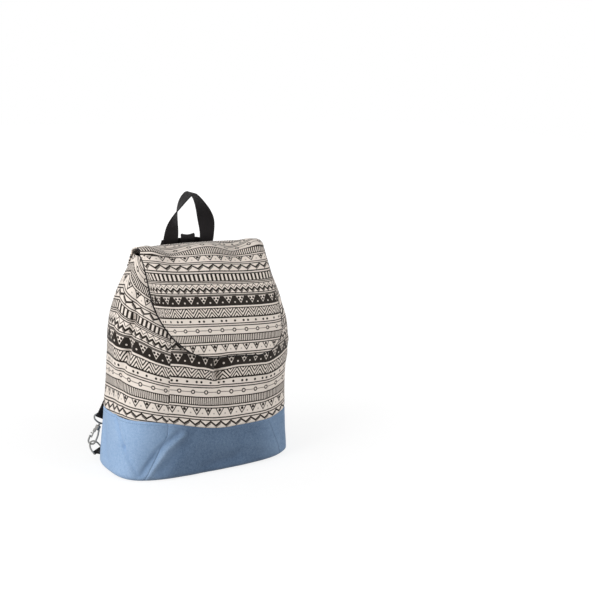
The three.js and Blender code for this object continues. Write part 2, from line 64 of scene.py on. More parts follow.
# Grids and paths that later pieces are sewn along
made = {}


def size(name, default, description):
    return FloatProperty(name=name, description=description, default=default, unit="LENGTH", precision=4)


def number(name, default, description):
    return FloatProperty(name=name, description=description, default=default, precision=3)


def angle(name, degrees, description):
    return FloatProperty(
        name=name, description=description, default=math.radians(degrees), subtype="ANGLE", precision=3
    )


def power(name, default, description):
    return FloatProperty(name=name, description=description, default=default, unit="POWER", precision=3)


def tint(name, default, description):
    return FloatVectorProperty(
        name=name, description=description, default=default, subtype="COLOR", size=3, min=0, max=1
    )


class BodySizes(PropertyGroup):
    """Form of the sewn body"""

    width: size("Width", 2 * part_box("right_side_panel")[1].x, "Width at the shoulder")
    depth: size("Depth", 2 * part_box("back_panel")[1].y, "Depth below the shoulder")
    top_z: size("Top", 0.388, "Height where the narrowing ends")
    top_width: size("Top width", 0.225, "Width at the top")
    top_depth: size("Top depth", 0.044, "Depth at the top")
    top_back: size("Top back", 0.037, "How far back the top's rear edge stands")
    mouth_z: size("Mouth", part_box("front_panel")[1].z, "Height of the mouth's rim")
    shoulder_z: size("Shoulder", 0.228, "Height where the narrowing starts")
    taper: number("Taper", 1.7, "How late the body narrows above the shoulder")
    flare: size("Flare", 0.0056, "Extra half width at the bottom")
    flare_z: size("Flare height", 0.09, "Height where the flare ends")
    seam_z: size("Seam", 0.0795, "Height of the seam between denim and print, in the middle")
    seam_left: size("Seam rise left", 0.0275, "How much higher the seam sits on the left side")
    seam_right: size("Seam rise right", 0.009, "How much higher the seam sits on the right side")
    edge: size("Bottom edge", 0.011, "Radius of the bottom edge")
    base_square: number("Base squareness", 3.4, "Exponent of the level section at the bottom")
    top_square: number("Top squareness", 2.85, "Exponent of the level section higher up")
    square_z: size("Squareness height", 0.23, "Height where the section has its upper form")
    front_turn: angle("Front turn", 33.0, "Angle from the front's middle to its corner seams")
    cloth: size("Cloth", 0.0021, "Thickness of the lined cloth")
    seam_gap: size("Seam gap", 0.00004, "Half of the line left open between two panels")
    seam_tuck: size("Seam tuck", 0.0010, "How deep the cloth turns in at a seam")
    seam_roll: size("Seam roll", 0.0026, "How far from a seam the cloth turns in")


class FlapSizes(PropertyGroup):
    """Form of the flap over the mouth"""

    thickness: size("Thickness", 0.0022, "Thickness of the lined flap")
    standoff: size("Standoff", 0.0055, "Distance of the flap's middle from the front")
    back_gap: size("Back gap", 0.0026, "Distance of the flap's middle from the back")
    tail_z: size("Tail", 0.350, "Height where the flap is sewn to the back")
    fold_z: size("Fold", 0.375, "Height where the flap turns over the mouth")
    crown_z: size("Crown", 0.3867, "Height of the flap's middle over the mouth")
    end_z: size("End", 0.212, "Height of the free edge's middle")
    top_half: size("Half width above", 0.1195, "Half width at the top")
    end_half: size("Half width below", 0.128, "Half width at the free edge")
    widening: size("Widening", 0.150, "Height over which the flap widens")
    left_x: size("Left corner width", 0.100, "Width of the rounded left corner")
    left_z: size("Left corner height", 0.080, "Height of the rounded left corner")
    right_x: size("Right corner width", 0.072, "Width of the rounded right corner")
    right_z: size("Right corner height", 0.070, "Height of the rounded right corner")
    askew: size("Askew", 0.028, "How far the left corner is drawn up and the right one hangs down")
    edge_lift: size("Edge lift", 0.0016, "How far the tail's ends stand off the back")
    piping: size("Piping", 0.0013, "Radius of the black piping")
    wave: size("Wave", 0.0046, "Height of the soft waves over the mouth")
    wave_length: size("Wave length", 0.115, "Distance from wave to wave")


class WebbingSizes(PropertyGroup):
    """Handle, loop band, strap and tabs"""

    handle_width: size("Handle width", 0.029, "Width of the grab handle")
    handle_thick: size("Handle thickness", 0.0022, "Thickness of the grab handle")
    handle_spacing: size("Handle spacing", 0.073, "Distance between the handle's legs")
    handle_y: size("Handle depth", 0.041, "How far back the handle's arch stands")
    handle_top: size("Handle top", 0.471, "Height of the handle's arch")
    handle_lay: size("Handle lay", 0.0054, "Distance of the handle's feet from the back")
    crest_z: size("Crest", 0.364, "Height of the handle's feet")
    band_half: size("Band half length", 0.052, "Half length of the loop band")
    band_low: size("Band low edge", -0.002, "Lower edge of the loop band, along the slope")
    band_high: size("Band high edge", 0.024, "Upper edge of the loop band, along the slope")
    band_thick: size("Band thickness", 0.002, "Thickness of the loop band")
    band_bow: size("Band bow", 0.0035, "How far the band bows out over the strap")
    strap_width: size("Strap width", 0.025, "Width of the shoulder strap")
    strap_thick: size("Strap thickness", 0.0032, "Thickness of the doubled strap")
    strap_in: size("Strap inner lay", 0.0071, "Where the strap runs under the loop band")
    strap_out: size("Strap outer lay", 0.0147, "Where the strap runs over the loop band")
    sleeve: size("Sleeve", 0.0036, "Outer radius of a webbing loop round a bar")
    sleeve_bore: size("Sleeve bore", 0.00195, "Inner radius of a webbing loop round a bar")
    tab_width: size("Tab width", 0.024, "Width of a D-ring's tab")


class MetalSizes(PropertyGroup):
    """D-rings, snap hooks and slider"""

    wire: size("Wire", 0.0015, "Radius of the ring wire")
    ring_half: size("Ring half width", 0.0155, "Half width of a D-ring, at the wire's middle")
    ring_reach: size("Ring reach", 0.0195, "Reach of a D-ring's bow")
    lower_reach: size("Lower tab reach", 0.013, "Length of a lower tab")
    lower_tilt: angle("Lower ring tilt", 50.0, "Angle of the lower rings above the floor")
    upper_x: size("Upper ring place", 0.108, "Distance of the upper rings from the middle")
    upper_z: size("Upper ring height", 0.347, "Height of the upper rings' bars")
    hook_seat: size("Hook seat", 0.0261, "Distance from the hook's middle to the seat of the ring")
    eye_bar: size("Eye bar", 0.0215, "Distance from the hook's middle to the strap's bar")
    slider_start: size("Slider place", 0.052, "Distance of the slider from the strap's end")


class Colours(PropertyGroup):
    """Colours of cloth, thread and metal"""

    cream: tint("Cream", (0.85, 0.765, 0.69), "Unprinted canvas")
    slub: tint("Slub", (0.76, 0.675, 0.60), "Thicker threads of the canvas")
    # Painted shade: the canvas colour in the hollow of a crease, where shade falls
    dusk: tint("Dusk", (0.60, 0.53, 0.47), "Canvas in the hollow of a crease")
    ink: tint("Ink", (0.0195, 0.0150, 0.0120), "Printing ink")
    lining: tint("Lining", (0.62, 0.56, 0.49), "Inside of the canvas")
    lining_slub: tint("Lining slub", (0.50, 0.45, 0.39), "Thicker threads of the lining")
    denim: tint("Denim", (0.068, 0.111, 0.188), "Blue warp of the front's denim")
    weft: tint("Weft", (0.228, 0.325, 0.455), "Pale weft of the front's denim")
    # Painted light: the paler denim colours where the key light falls on it
    faded: tint("Faded denim", (0.245, 0.380, 0.595), "Blue warp of the faded denim")
    faded_weft: tint("Faded weft", (0.54, 0.69, 0.88), "Pale weft of the faded denim")
    webbing: tint("Webbing", (0.0070, 0.0058, 0.0062), "Black webbing and piping")
    raised_webbing: tint("Raised webbing", (0.022, 0.0190, 0.0202), "Raised threads of the webbing")
    blue_thread: tint("Blue thread", (0.2, 0.29, 0.43), "Thread of the base seam")
    pale_thread: tint("Pale thread", (0.66, 0.59, 0.52), "Thread of the flap's edge")
    dark_thread: tint("Dark thread", (0.03, 0.028, 0.03), "Thread of the webbing")
    nickel: tint("Nickel", (0.40, 0.395, 0.38), "Plated hardware")
    haze: tint("Haze", (0.30, 0.295, 0.285), "Dulled plate")
    floor: tint("Floor", (0.32, 0.32, 0.32), "Studio floor, as light bounces off it")
    floor_seen: tint("Seen floor", (0.9, 0.9, 0.9), "Studio floor, as the camera sees it")


class StageSizes(PropertyGroup):
    """Camera, floor and light"""

    lens: FloatProperty(
        name="Lens", description="Focal length in millimetres", default=72.47, unit="CAMERA"
    )
    floor: size("Floor", 6.0, "Half size of the floor")
    key_power: power("Key power", 50.0, "Power of the soft light on the left")
    fill_power: power("Fill power", 32.0, "Power of the soft light in front")
    ambient: number("Ambient", 0.39, "Strength of the even light all round")


GROUPS = {
    "backpack_body": BodySizes,
    "backpack_flap": FlapSizes,
    "backpack_webbing": WebbingSizes,
    "backpack_metal": MetalSizes,
    "backpack_colours": Colours,
    "backpack_stage": StageSizes,
}


def body():
    return bpy.context.scene.backpack_body


def flap():
    return bpy.context.scene.backpack_flap


def webbing():
    return bpy.context.scene.backpack_webbing


def metal():
    return bpy.context.scene.backpack_metal


def colours():
    return bpy.context.scene.backpack_colours


# Small maths


def mix(a, b, t):
    return a + (b - a) * t


def smooth(x, low, high):
    t = np.clip((x - low) / (high - low), 0, 1)
    return t * t * (3 - 2 * t)


def unit(v):
    v = np.asarray(v, float)
    return v / np.maximum(np.linalg.norm(v, axis=-1, keepdims=True), 1e-12)


def run_length(points, axis):
    """Length along a grid or line from its first point, the same shape as the points."""
    step = np.linalg.norm(np.diff(points, axis=axis), axis=-1)
    total = np.cumsum(step, axis=axis)
    start = np.zeros_like(np.take(total, [0], axis=axis))
    return np.concatenate([start, total], axis=axis)


def spaced(line, count):
    """The line again as evenly spaced points."""
    along = run_length(line, 0)
    at = np.linspace(0, along[-1], count)
    return np.stack([np.interp(at, along, line[:, k]) for k in range(3)], axis=1)


CURVE_STEPS = 24


def smooth_path(points, count, closed=False):
    """Evenly spaced points on a centripetal curve through the given ones."""
    p = np.asarray(points, float)
    if closed:
        p = np.concatenate([p[-1:], p, p[:2]])
    else:
        p = np.concatenate([2 * p[:1] - p[1:2], p, 2 * p[-1:] - p[-2:-1]])
    line = []
    for a, b, c, d in zip(p, p[1:], p[2:], p[3:]):
        k = np.cumsum([0] + [np.sqrt(np.linalg.norm(q - r)) for q, r in ((b, a), (c, b), (d, c))])
        t = np.linspace(k[1], k[2], CURVE_STEPS, endpoint=False)[:, None]
        ab = mix(a, b, (t - k[0]) / (k[1] - k[0]))
        bc = mix(b, c, (t - k[1]) / (k[2] - k[1]))
        cd = mix(c, d, (t - k[2]) / (k[3] - k[2]))
        abc = mix(ab, bc, (t - k[0]) / (k[2] - k[0]))
        bcd = mix(bc, cd, (t - k[1]) / (k[3] - k[1]))
        line.append(mix(abc, bcd, (t - k[1]) / (k[2] - k[1])))
    line = np.concatenate(line + [p[-2:-1]])
    return spaced(line, count + 1)[:-1] if closed else spaced(line, count)


# The body's form

# Turn from a wall's middle to its corner where all four walls are alike
CORNER_TURN = math.pi / 4

# Where the base seam starts to rise and has risen, out from the middle
RISE_LEFT, RISE_RIGHT = (-0.020, 0.150), (0.090, 0.166)


def section(z):
    """Half width, half depth, middle and squareness of the body's level section at height z."""
    b = body()
    ease = np.clip((z - b.shoulder_z) / (b.top_z - b.shoulder_z), 0, 1.05) ** b.taper
    under = np.clip(1 - z / b.edge, 0, 1)
    tuck = b.edge * (1 - np.sqrt(1 - under**2))
    back = mix(b.depth / 2, b.top_back, ease)
    front = mix(-b.depth / 2, b.top_back - b.top_depth, ease)
    flare = b.flare * np.maximum(0, 1 - z / b.flare_z)
    half_width = mix(b.width / 2, b.top_width / 2, ease) + flare - tuck
    square = mix(b.base_square, b.top_square, smooth(z, 0, b.square_z))
    return half_width, (back - front) / 2 - tuck, (back + front) / 2, square


def seam_height(x):
    b = body()
    left, right = smooth(-x, *RISE_LEFT), smooth(x, *RISE_RIGHT)
    return b.seam_z + b.seam_left * left + b.seam_right * right


def front_y(x, z, away=0.0):
    a, b, mid, n = section(z)
    return mid - (b + away) * np.maximum(0, 1 - np.abs(x / (a + away)) ** n) ** (1 / n)


def back_y(x, z, away=0.0):
    return 2 * section(z)[2] - front_y(x, z, away)


def wall_points(wall, across, z, inset=0.0):
    """Points of one wall; across runs -1 to 1 from corner seam to corner seam."""
    a, b, mid, n = section(z)
    wide = mix(CORNER_TURN, body().front_turn, np.clip(z / body().seam_z, 0, 1))
    bend = mix(wide, np.pi - CORNER_TURN, (across + 1) / 2)
    behind = np.pi + across * CORNER_TURN
    turns = {"front": across * wide, "back": behind, "right": bend, "left": -bend}
    s, c = np.sin(turns[wall]), np.cos(turns[wall])
    reach = (np.abs(s) ** n + np.abs(c) ** n) ** (-1 / n)
    x, y = reach * s * (a - inset), mid - reach * c * (b - inset)
    return np.stack(np.broadcast_arrays(x, y, z), axis=-1)


def wall_normals(points):
    """Level directions out of the body's walls."""
    a, b, mid, n = section(points[..., 2])
    x, y = points[..., 0] / a, (points[..., 1] - mid) / b
    gx = np.sign(x) * np.abs(x) ** (n - 1) / a
    gy = np.sign(y) * np.abs(y) ** (n - 1) / b
    return unit(np.stack([gx, gy, np.zeros_like(gx)], axis=-1))


# A soft fold from start to end: its width, its height out of the wall and how it drags the cloth
Fold = namedtuple("Fold", "start end width height drag")
STILL = (0, 0, 0)
DRAG_REACH = 1.8

# Height of the slack waves in the cloth
BODY_SLACK, FLAP_SLACK = 0.0011, 0.0007

BODY_FOLDS = (
    # Pucker under the flap, where the snap pulls the front in
    Fold((-0.010, -0.085, 0.206), (-0.007, -0.085, 0.186), 0.011, -0.0085, (0, 0, -0.0085)),
    Fold((-0.012, -0.085, 0.200), (-0.005, -0.085, 0.166), 0.0042, -0.0034, STILL),
    Fold((-0.050, -0.085, 0.200), (-0.016, -0.085, 0.192), 0.010, 0.0026, (0, 0, -0.003)),
    Fold((0.020, -0.085, 0.196), (0.070, -0.085, 0.214), 0.011, 0.0024, (0, 0, -0.001)),
    Fold((-0.002, -0.085, 0.178), (0.008, -0.085, 0.150), 0.008, -0.0016, STILL),
    # Standing pleat on the left side
    Fold((-0.138, -0.030, 0.317), (-0.149, -0.041, 0.277), 0.008, -0.0050, STILL),
    Fold((-0.149, -0.041, 0.277), (-0.160, -0.040, 0.222), 0.0065, -0.0066, STILL),
    Fold((-0.160, -0.040, 0.222), (-0.164, -0.020, 0.170), 0.0075, -0.0040, STILL),
    Fold((-0.142, -0.006, 0.312), (-0.160, 0.000, 0.250), 0.026, 0.0060, STILL),
    Fold((-0.150, -0.058, 0.280), (-0.155, -0.062, 0.230), 0.012, 0.0038, (0, 0, 0.006)),
    Fold((-0.155, -0.020, 0.262), (-0.166, -0.012, 0.200), 0.013, 0.0030, (0, 0, -0.003)),
    # Long soft hollows of the left side
    Fold((-0.166, 0.030, 0.250), (-0.166, 0.020, 0.140), 0.020, -0.0030, STILL),
    Fold((-0.166, 0.000, 0.130), (-0.150, -0.060, 0.190), 0.012, -0.0018, STILL),
    Fold((-0.130, -0.050, 0.330), (-0.118, -0.010, 0.345), 0.012, -0.0030, STILL),
    # Front corner, full and rounded beside the flap
    Fold((-0.120, -0.076, 0.212), (-0.124, -0.076, 0.130), 0.016, 0.0028, STILL),
    Fold((-0.095, -0.081, 0.150), (-0.070, -0.084, 0.110), 0.014, -0.0016, STILL),
    Fold((0.080, -0.083, 0.170), (0.105, -0.080, 0.120), 0.016, -0.0018, STILL),
    # Right side
    Fold((0.166, -0.020, 0.240), (0.166, 0.000, 0.150), 0.018, -0.0042, STILL),
    Fold((0.152, -0.050, 0.262), (0.160, -0.040, 0.215), 0.011, 0.0026, STILL),
    Fold((0.163, -0.036, 0.206), (0.164, -0.036, 0.186), 0.017, 0.0056, STILL),
    Fold((0.140, 0.010, 0.310), (0.158, 0.030, 0.250), 0.014, -0.0034, STILL),
    # Back, slack between the strap's strands
    Fold((-0.030, 0.085, 0.200), (0.040, 0.085, 0.170), 0.022, -0.0034, STILL),
    Fold((0.090, 0.080, 0.230), (0.110, 0.078, 0.150), 0.016, -0.0030, STILL),
    Fold((-0.100, 0.080, 0.150), (-0.080, 0.083, 0.110), 0.016, -0.0026, STILL),
    # Groove from the base's front left corner up to the seam, with the ridge beside it
    Fold((-0.146, -0.071, 0.012), (-0.123, -0.077, 0.047), 0.006, -0.0052, STILL),
    Fold((-0.116, -0.078, 0.056), (-0.084, -0.083, 0.080), 0.006, -0.0036, STILL),
    Fold((-0.134, -0.076, 0.012), (-0.111, -0.080, 0.047), 0.006, 0.0046, STILL),
    Fold((-0.104, -0.081, 0.056), (-0.074, -0.084, 0.078), 0.006, 0.0030, STILL),
    Fold((-0.114, -0.079, 0.018), (-0.076, -0.083, 0.058), 0.010, -0.0026, STILL),
    # Crease across the base's left side
    Fold((-0.168, -0.012, 0.104), (-0.164, -0.040, 0.058), 0.0045, -0.0036, STILL),
    Fold((-0.164, -0.040, 0.058), (-0.150, -0.066, 0.010), 0.0045, -0.0030, STILL),
    Fold((-0.168, 0.030, 0.085), (-0.168, 0.012, 0.030), 0.010, -0.0022, STILL),
    # Base front, slack over the bottom edge
    Fold((-0.030, -0.086, 0.012), (0.030, -0.086, 0.020), 0.012, -0.0030, STILL),
    Fold((0.060, -0.086, 0.045), (0.120, -0.080, 0.020), 0.016, 0.0024, STILL),
    Fold((-0.040, -0.086, 0.060), (0.020, -0.086, 0.050), 0.018, 0.0018, STILL),
    Fold((0.146, -0.066, 0.075), (0.156, -0.060, 0.012), 0.008, 0.0028, STILL),
    # Base back and right
    Fold((0.168, 0.020, 0.070), (0.168, -0.010, 0.020), 0.012, -0.0026, STILL),
    Fold((0.060, 0.085, 0.060), (0.110, 0.079, 0.020), 0.014, -0.0026, STILL),
    Fold((-0.070, 0.085, 0.050), (-0.020, 0.086, 0.022), 0.014, -0.0022, STILL),
)


def folded(points, normals, folds):
    """Points moved by the folds, and how far each one stands out or in."""
    lift = np.zeros(points.shape[:-1])
    drag = np.zeros_like(points)
    for fold in folds:
        start, end = np.array(fold.start), np.array(fold.end)
        line = end - start
        t = np.clip((points - start) @ line / (line @ line), 0, 1)
        gap = np.linalg.norm(points - start - t[..., None] * line, axis=-1)
        lift += fold.height * np.exp(-((gap / fold.width) ** 2))
        drag += np.exp(-((gap / (DRAG_REACH * fold.width)) ** 2))[..., None] * np.array(fold.drag)
    return points + lift[..., None] * normals + drag, lift


def slack(points, normals, height):
    """The slight unevenness of hand-filled cloth: a few long waves that differ from side to side."""
    x, y, z = points[..., 0], points[..., 1], points[..., 2]
    wave = (
        np.sin(41 * x + 23 * z + 0.6)
        + np.sin(57 * y - 31 * z + 1.9)
        + 0.7 * np.sin(83 * z + 37 * x - 29 * y)
        + 0.4 * np.sin(131 * x - 97 * z + 71 * y + 0.8)
    )
    return points + (height * wave / 3)[..., None] * normals


# Meshes


def new_object(name, mesh):
    obj = bpy.data.objects.new(name, mesh)
    bpy.context.scene.collection.objects.link(obj)
    return obj


def new_mesh(name, points, faces, uv=None):
    mesh = bpy.data.meshes.new(name)
    mesh.from_pydata(np.asarray(points).reshape(-1, 3).tolist(), [], faces)
    if uv is not None:
        corner = np.zeros(len(mesh.loops), np.int32)
        mesh.loops.foreach_get("vertex_index", corner)
        layer = mesh.uv_layers.new(name="cloth")
        layer.data.foreach_set("uv", np.asarray(uv, np.float32).reshape(-1, 2)[corner].ravel())
    mesh.polygons.foreach_set("use_smooth", np.ones(len(mesh.polygons), bool))
    mesh.validate()
    return mesh


def point_values(mesh, name, values):
    layer = mesh.attributes.new(name, "FLOAT", "POINT")
    layer.data.foreach_set("value", values.astype(np.float32))


def outward(mesh):
    """Turns a closed mesh the right way out."""
    work = bmesh.new()
    work.from_mesh(mesh)
    if work.calc_volume(signed=True) < 0:
        bmesh.ops.reverse_faces(work, faces=work.faces)
        work.to_mesh(mesh)
    work.free()
    return mesh


def cloth_mesh(name, outer, inner, uv, crease, ring=False):
    """Closed cloth between two grids, with its own coordinates; the inner face has the second material."""
    rows, cols = outer.shape[:2]
    index = np.arange(2 * rows * cols).reshape(2, rows, cols)
    if ring:
        index = np.concatenate([index, index[:, :1]], axis=1)

    def quads(a, b, c, d):
        return np.stack([a, b, c, d], axis=-1).reshape(-1, 4)

    top, low = index
    face = quads(top[:-1, :-1], top[1:, :-1], top[1:, 1:], top[:-1, 1:])
    lining = quads(low[:-1, :-1], low[:-1, 1:], low[1:, 1:], low[1:, :-1])
    rim = [
        quads(top[:-1, 0], low[:-1, 0], low[1:, 0], top[1:, 0]),
        quads(top[:-1, -1], top[1:, -1], low[1:, -1], low[:-1, -1]),
    ]
    if not ring:
        rim.append(quads(top[0, :-1], top[0, 1:], low[0, 1:], low[0, :-1]))
        rim.append(quads(top[-1, :-1], low[-1, :-1], low[-1, 1:], top[-1, 1:]))
    faces = np.concatenate([face, *rim, lining])
    points = np.concatenate([outer.reshape(-1, 3), inner.reshape(-1, 3)])
    mesh = new_mesh(name, points, faces.tolist(), np.concatenate([uv.reshape(-1, 2)] * 2))
    slot = np.zeros(len(faces), np.int32)
    slot[-len(lining) :] = 1
    mesh.polygons.foreach_set("material_index", slot)
    point_values(mesh, "crease", np.tile(crease.ravel(), 2))
    return outward(mesh)


def sweep_mesh(name, path, side, profile, closed=False):
    """A closed body along a path; side gives each point's width direction, profile the section round it."""
    path = np.asarray(path, float)
    ahead = np.roll(path, -1, axis=0) - np.roll(path, 1, axis=0)
    if not closed:
        ahead = np.gradient(path, axis=0)
    side = unit(np.broadcast_to(side, path.shape))
    up = unit(np.cross(ahead, side))
    profile = np.asarray(profile, float)
    points = path[:, None] + profile[:, 0, None] * side[:, None] + profile[:, 1, None] * up[:, None]
    n, m = points.shape[:2]
    faces = []
    for i in range(n if closed else n - 1):
        k = (i + 1) % n
        faces += [(i * m + j, k * m + j, k * m + (j + 1) % m, i * m + (j + 1) % m) for j in range(m)]
    if not closed:
        faces.append(tuple(range(m)))
        faces.append(tuple(range((n - 1) * m, n * m))[::-1])
    along = np.broadcast_to(run_length(path, 0)[:, None], (n, m))
    across = np.broadcast_to(profile[:, 0], (n, m))
    return outward(new_mesh(name, points, faces, np.stack([across, along], axis=-1)))


def round_profile(radius, sides):
    turn = np.linspace(0, 2 * np.pi, sides, endpoint=False)
    return radius * np.stack([np.cos(turn), np.sin(turn)], axis=1)


# How much thicker the selvedges of webbing are, and how wide, as shares
SELVEDGE, SELVEDGE_WIDTH = 0.10, 0.09


def flat_profile(width, thickness):
    """Section of flat webbing with rounded edges and slightly fuller selvedges."""
    half, r = width / 2, thickness / 2
    across = np.linspace(half - r, r - half, 11)
    fuller = 1 + SELVEDGE * np.exp(-(((half - np.abs(across)) / (SELVEDGE_WIDTH * width)) ** 2))
    top = np.stack([across, r * fuller], axis=1)
    turn = np.radians([120, 180, 240])
    left = np.stack([r - half + r * np.cos(turn), r * np.sin(turn)], axis=1)
    return np.concatenate([top, left, -top, -left])


LATHE_STEPS = 24


def turned(profile):
    """A lathed body round local Y from points (radius, height) that start and end on the axis."""
    steps = LATHE_STEPS
    turn = np.linspace(0, 2 * np.pi, steps, endpoint=False)
    ring = [[(r * np.cos(t), y, r * np.sin(t)) for t in turn] for r, y in profile[1:-1]]
    points = [(0, profile[0][1], 0), *sum(ring, []), (0, profile[-1][1], 0)]
    last = len(points) - 1
    faces = []
    for j in range(steps):
        k = (j + 1) % steps
        faces.append((0, 1 + j, 1 + k))
        faces.append((last, last - steps + k, last - steps + j))
        for i in range(len(ring) - 1):
            a, b = 1 + i * steps, 1 + (i + 1) * steps
            faces.append((a + j, b + j, b + k, a + k))
    return outward(new_mesh("turned", points, faces))


def rod(radius, length, chamfer=0.25):
    half = length / 2
    inner = radius - chamfer
    top = half - chamfer
    return turned([(0, -half), (inner, -half), (radius, -top), (radius, top), (inner, half), (0, half)])


def block(x, y, z, bevel):
    work = bmesh.new()
    bmesh.ops.create_cube(work, size=1, matrix=Matrix.Diagonal((x, y, z, 1)))
    bmesh.ops.bevel(work, geom=work.edges[:], offset=bevel, segments=3, affect="EDGES", profile=0.5)
    mesh = bpy.data.meshes.new("block")
    work.to_mesh(mesh)
    work.free()
    return mesh


def moved(mesh, x=0.0, y=0.0, z=0.0, turn=None):
    """The mesh turned by (degrees, axis) and then shifted."""
    if turn:
        mesh.transform(Matrix.Rotation(math.radians(turn[0]), 4, turn[1]))
    mesh.transform(Matrix.Translation((x, y, z)))
    return mesh


def fuse(parts, cuts=()):
    """One closed mesh from overlapping closed ones, with others cut out of it."""
    whole = new_object("fuse", parts[0])
    tools = []
    for operation, meshes in (("UNION", parts[1:]), ("DIFFERENCE", cuts)):
        for mesh in meshes:
            tool = new_object("fuse_tool", mesh)
            tools.append(tool)
            step = whole.modifiers.new("fuse", "BOOLEAN")
            step.operation = operation
            step.solver = "EXACT"
            step.object = tool
    result = baked(whole)
    for tool in tools:
        bpy.data.objects.remove(tool)
    return result


def baked(obj):
    """The object's final mesh, with its modifiers applied; the object itself is removed."""
    bpy.context.view_layer.update()
    mesh = bpy.data.meshes.new_from_object(obj.evaluated_get(bpy.context.evaluated_depsgraph_get()))
    bpy.data.objects.remove(obj)
    return mesh


def piece(name, mesh, materials, rides, slot, *nodes):
    """A finished piece on its body, in the place of the named nodes."""
    obj = new_object(name, mesh)
    mesh.materials.clear()
    for material in materials:
        mesh.materials.append(material)
    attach(obj, rides)
    if nodes:
        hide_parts(*nodes)
    return obj


# Shader maths


class Signal:
    """A shader value that takes part in Python arithmetic."""

    def __init__(self, shading, socket):
        self.shading = shading
        self.socket = socket

    def math(self, operation, *others, clamp=False):
        values = dict(enumerate((self, *others)))
        return self.shading.node("ShaderNodeMath", {"operation": operation, "use_clamp": clamp}, values)

    def __add__(self, other):
        return self.math("ADD", other)

    def __mul__(self, other):
        return self.math("MULTIPLY", other)

    def __sub__(self, other):
        return self.math("SUBTRACT", other)

    def __rsub__(self, other):
        return self.scaled(-1, other)

    def __abs__(self):
        return self.math("ABSOLUTE")

    __radd__ = __add__
    __rmul__ = __mul__

    def scaled(self, factor, offset, clamp=False):
        return self.math("MULTIPLY_ADD", factor, offset, clamp=clamp)

    def folded(self, pitch, slip=0.0):
        """Distance from the nearest multiple of the pitch."""
        return (self + slip).math("PINGPONG", pitch / 2)


class Shading:
    """A material's or the world's node tree, and the calls that add nodes to it."""

    def __init__(self, holder):
        holder.use_nodes = True
        self.tree = holder.node_tree

    def feed(self, socket, value):
        if isinstance(value, Signal):
            self.tree.links.new(value.socket, socket)
        elif isinstance(value, (int, float)):
            socket.default_value = value
        else:
            value = list(value)
            wanted = len(socket.default_value)
            socket.default_value = (value + [1.0])[:wanted]

    def node(self, kind, settings=None, values=None, output=0):
        node = self.tree.nodes.new(kind)
        for key, value in (settings or {}).items():
            setattr(node, key, value)
        for key, value in (values or {}).items():
            self.feed(node.inputs[key], value)
        return Signal(self, node.outputs[output])

    def seen(self):
        """One for what the camera sees, also in a reflection or through glass."""
        path = self.tree.nodes.new("ShaderNodeLightPath")
        kinds = ("Camera", "Glossy", "Transmission")
        camera, glossy, through = (Signal(self, path.outputs[f"Is {kind} Ray"]) for kind in kinds)
        return (camera + glossy).math("ADD", through, clamp=True)


class Finish(Shading):
    """A material round one Principled shader."""

    def __init__(self, name):
        self.material = bpy.data.materials.new(name)
        super().__init__(self.material)
        self.shader = self.tree.nodes["Principled BSDF"]

    def set(self, **values):
        for key, value in values.items():
            self.feed(self.shader.inputs[key.replace("_", " ")], value)

    def blend(self, factor, a, b):
        settings = {"data_type": "RGBA", "clamp_factor": True}
        return self.node("ShaderNodeMix", settings, {0: factor, 6: a, 7: b}, output=2)

    def noise(self, vector, scale, detail=2.0, roughness=0.5):
        values = {"Vector": vector, "Scale": scale, "Detail": detail, "Roughness": roughness}
        return self.node("ShaderNodeTexNoise", {"noise_dimensions": "3D"}, values)

    def place(self):
        """Object coordinates."""
        return self.node("ShaderNodeTexCoord", output=3)

    def cloth(self):
        """The cloth's own two coordinates, in millimetres."""
        uv = self.node("ShaderNodeUVMap", {"uv_map": "cloth"})
        u = self.node("ShaderNodeSeparateXYZ", None, {0: uv}, output=0)
        v = self.node("ShaderNodeSeparateXYZ", None, {0: uv}, output=1)
        return u * (1 / MM), v * (1 / MM)

    def attribute(self, name):
        return self.node("ShaderNodeAttribute", {"attribute_name": name}, None, output=2)

    def crease(self):
        """How far the cloth stands out of or in from its even form, in millimetres."""
        return self.attribute("crease") * (1 / MM)

    def wave(self, value, pitch):
        return (value * (2 * math.pi / pitch)).math("SINE")

    def span(self, a, b):
        """Length of the flat vector (a, b)."""
        flat = self.node("ShaderNodeCombineXYZ", None, {0: a, 1: b})
        return self.node("ShaderNodeVectorMath", {"operation": "LENGTH"}, {0: flat}, output=1)

    def bump(self, height, distance, strength):
        values = {"Height": height, "Distance": distance, "Strength": strength}
        self.set(Normal=self.node("ShaderNodeBump", None, values))


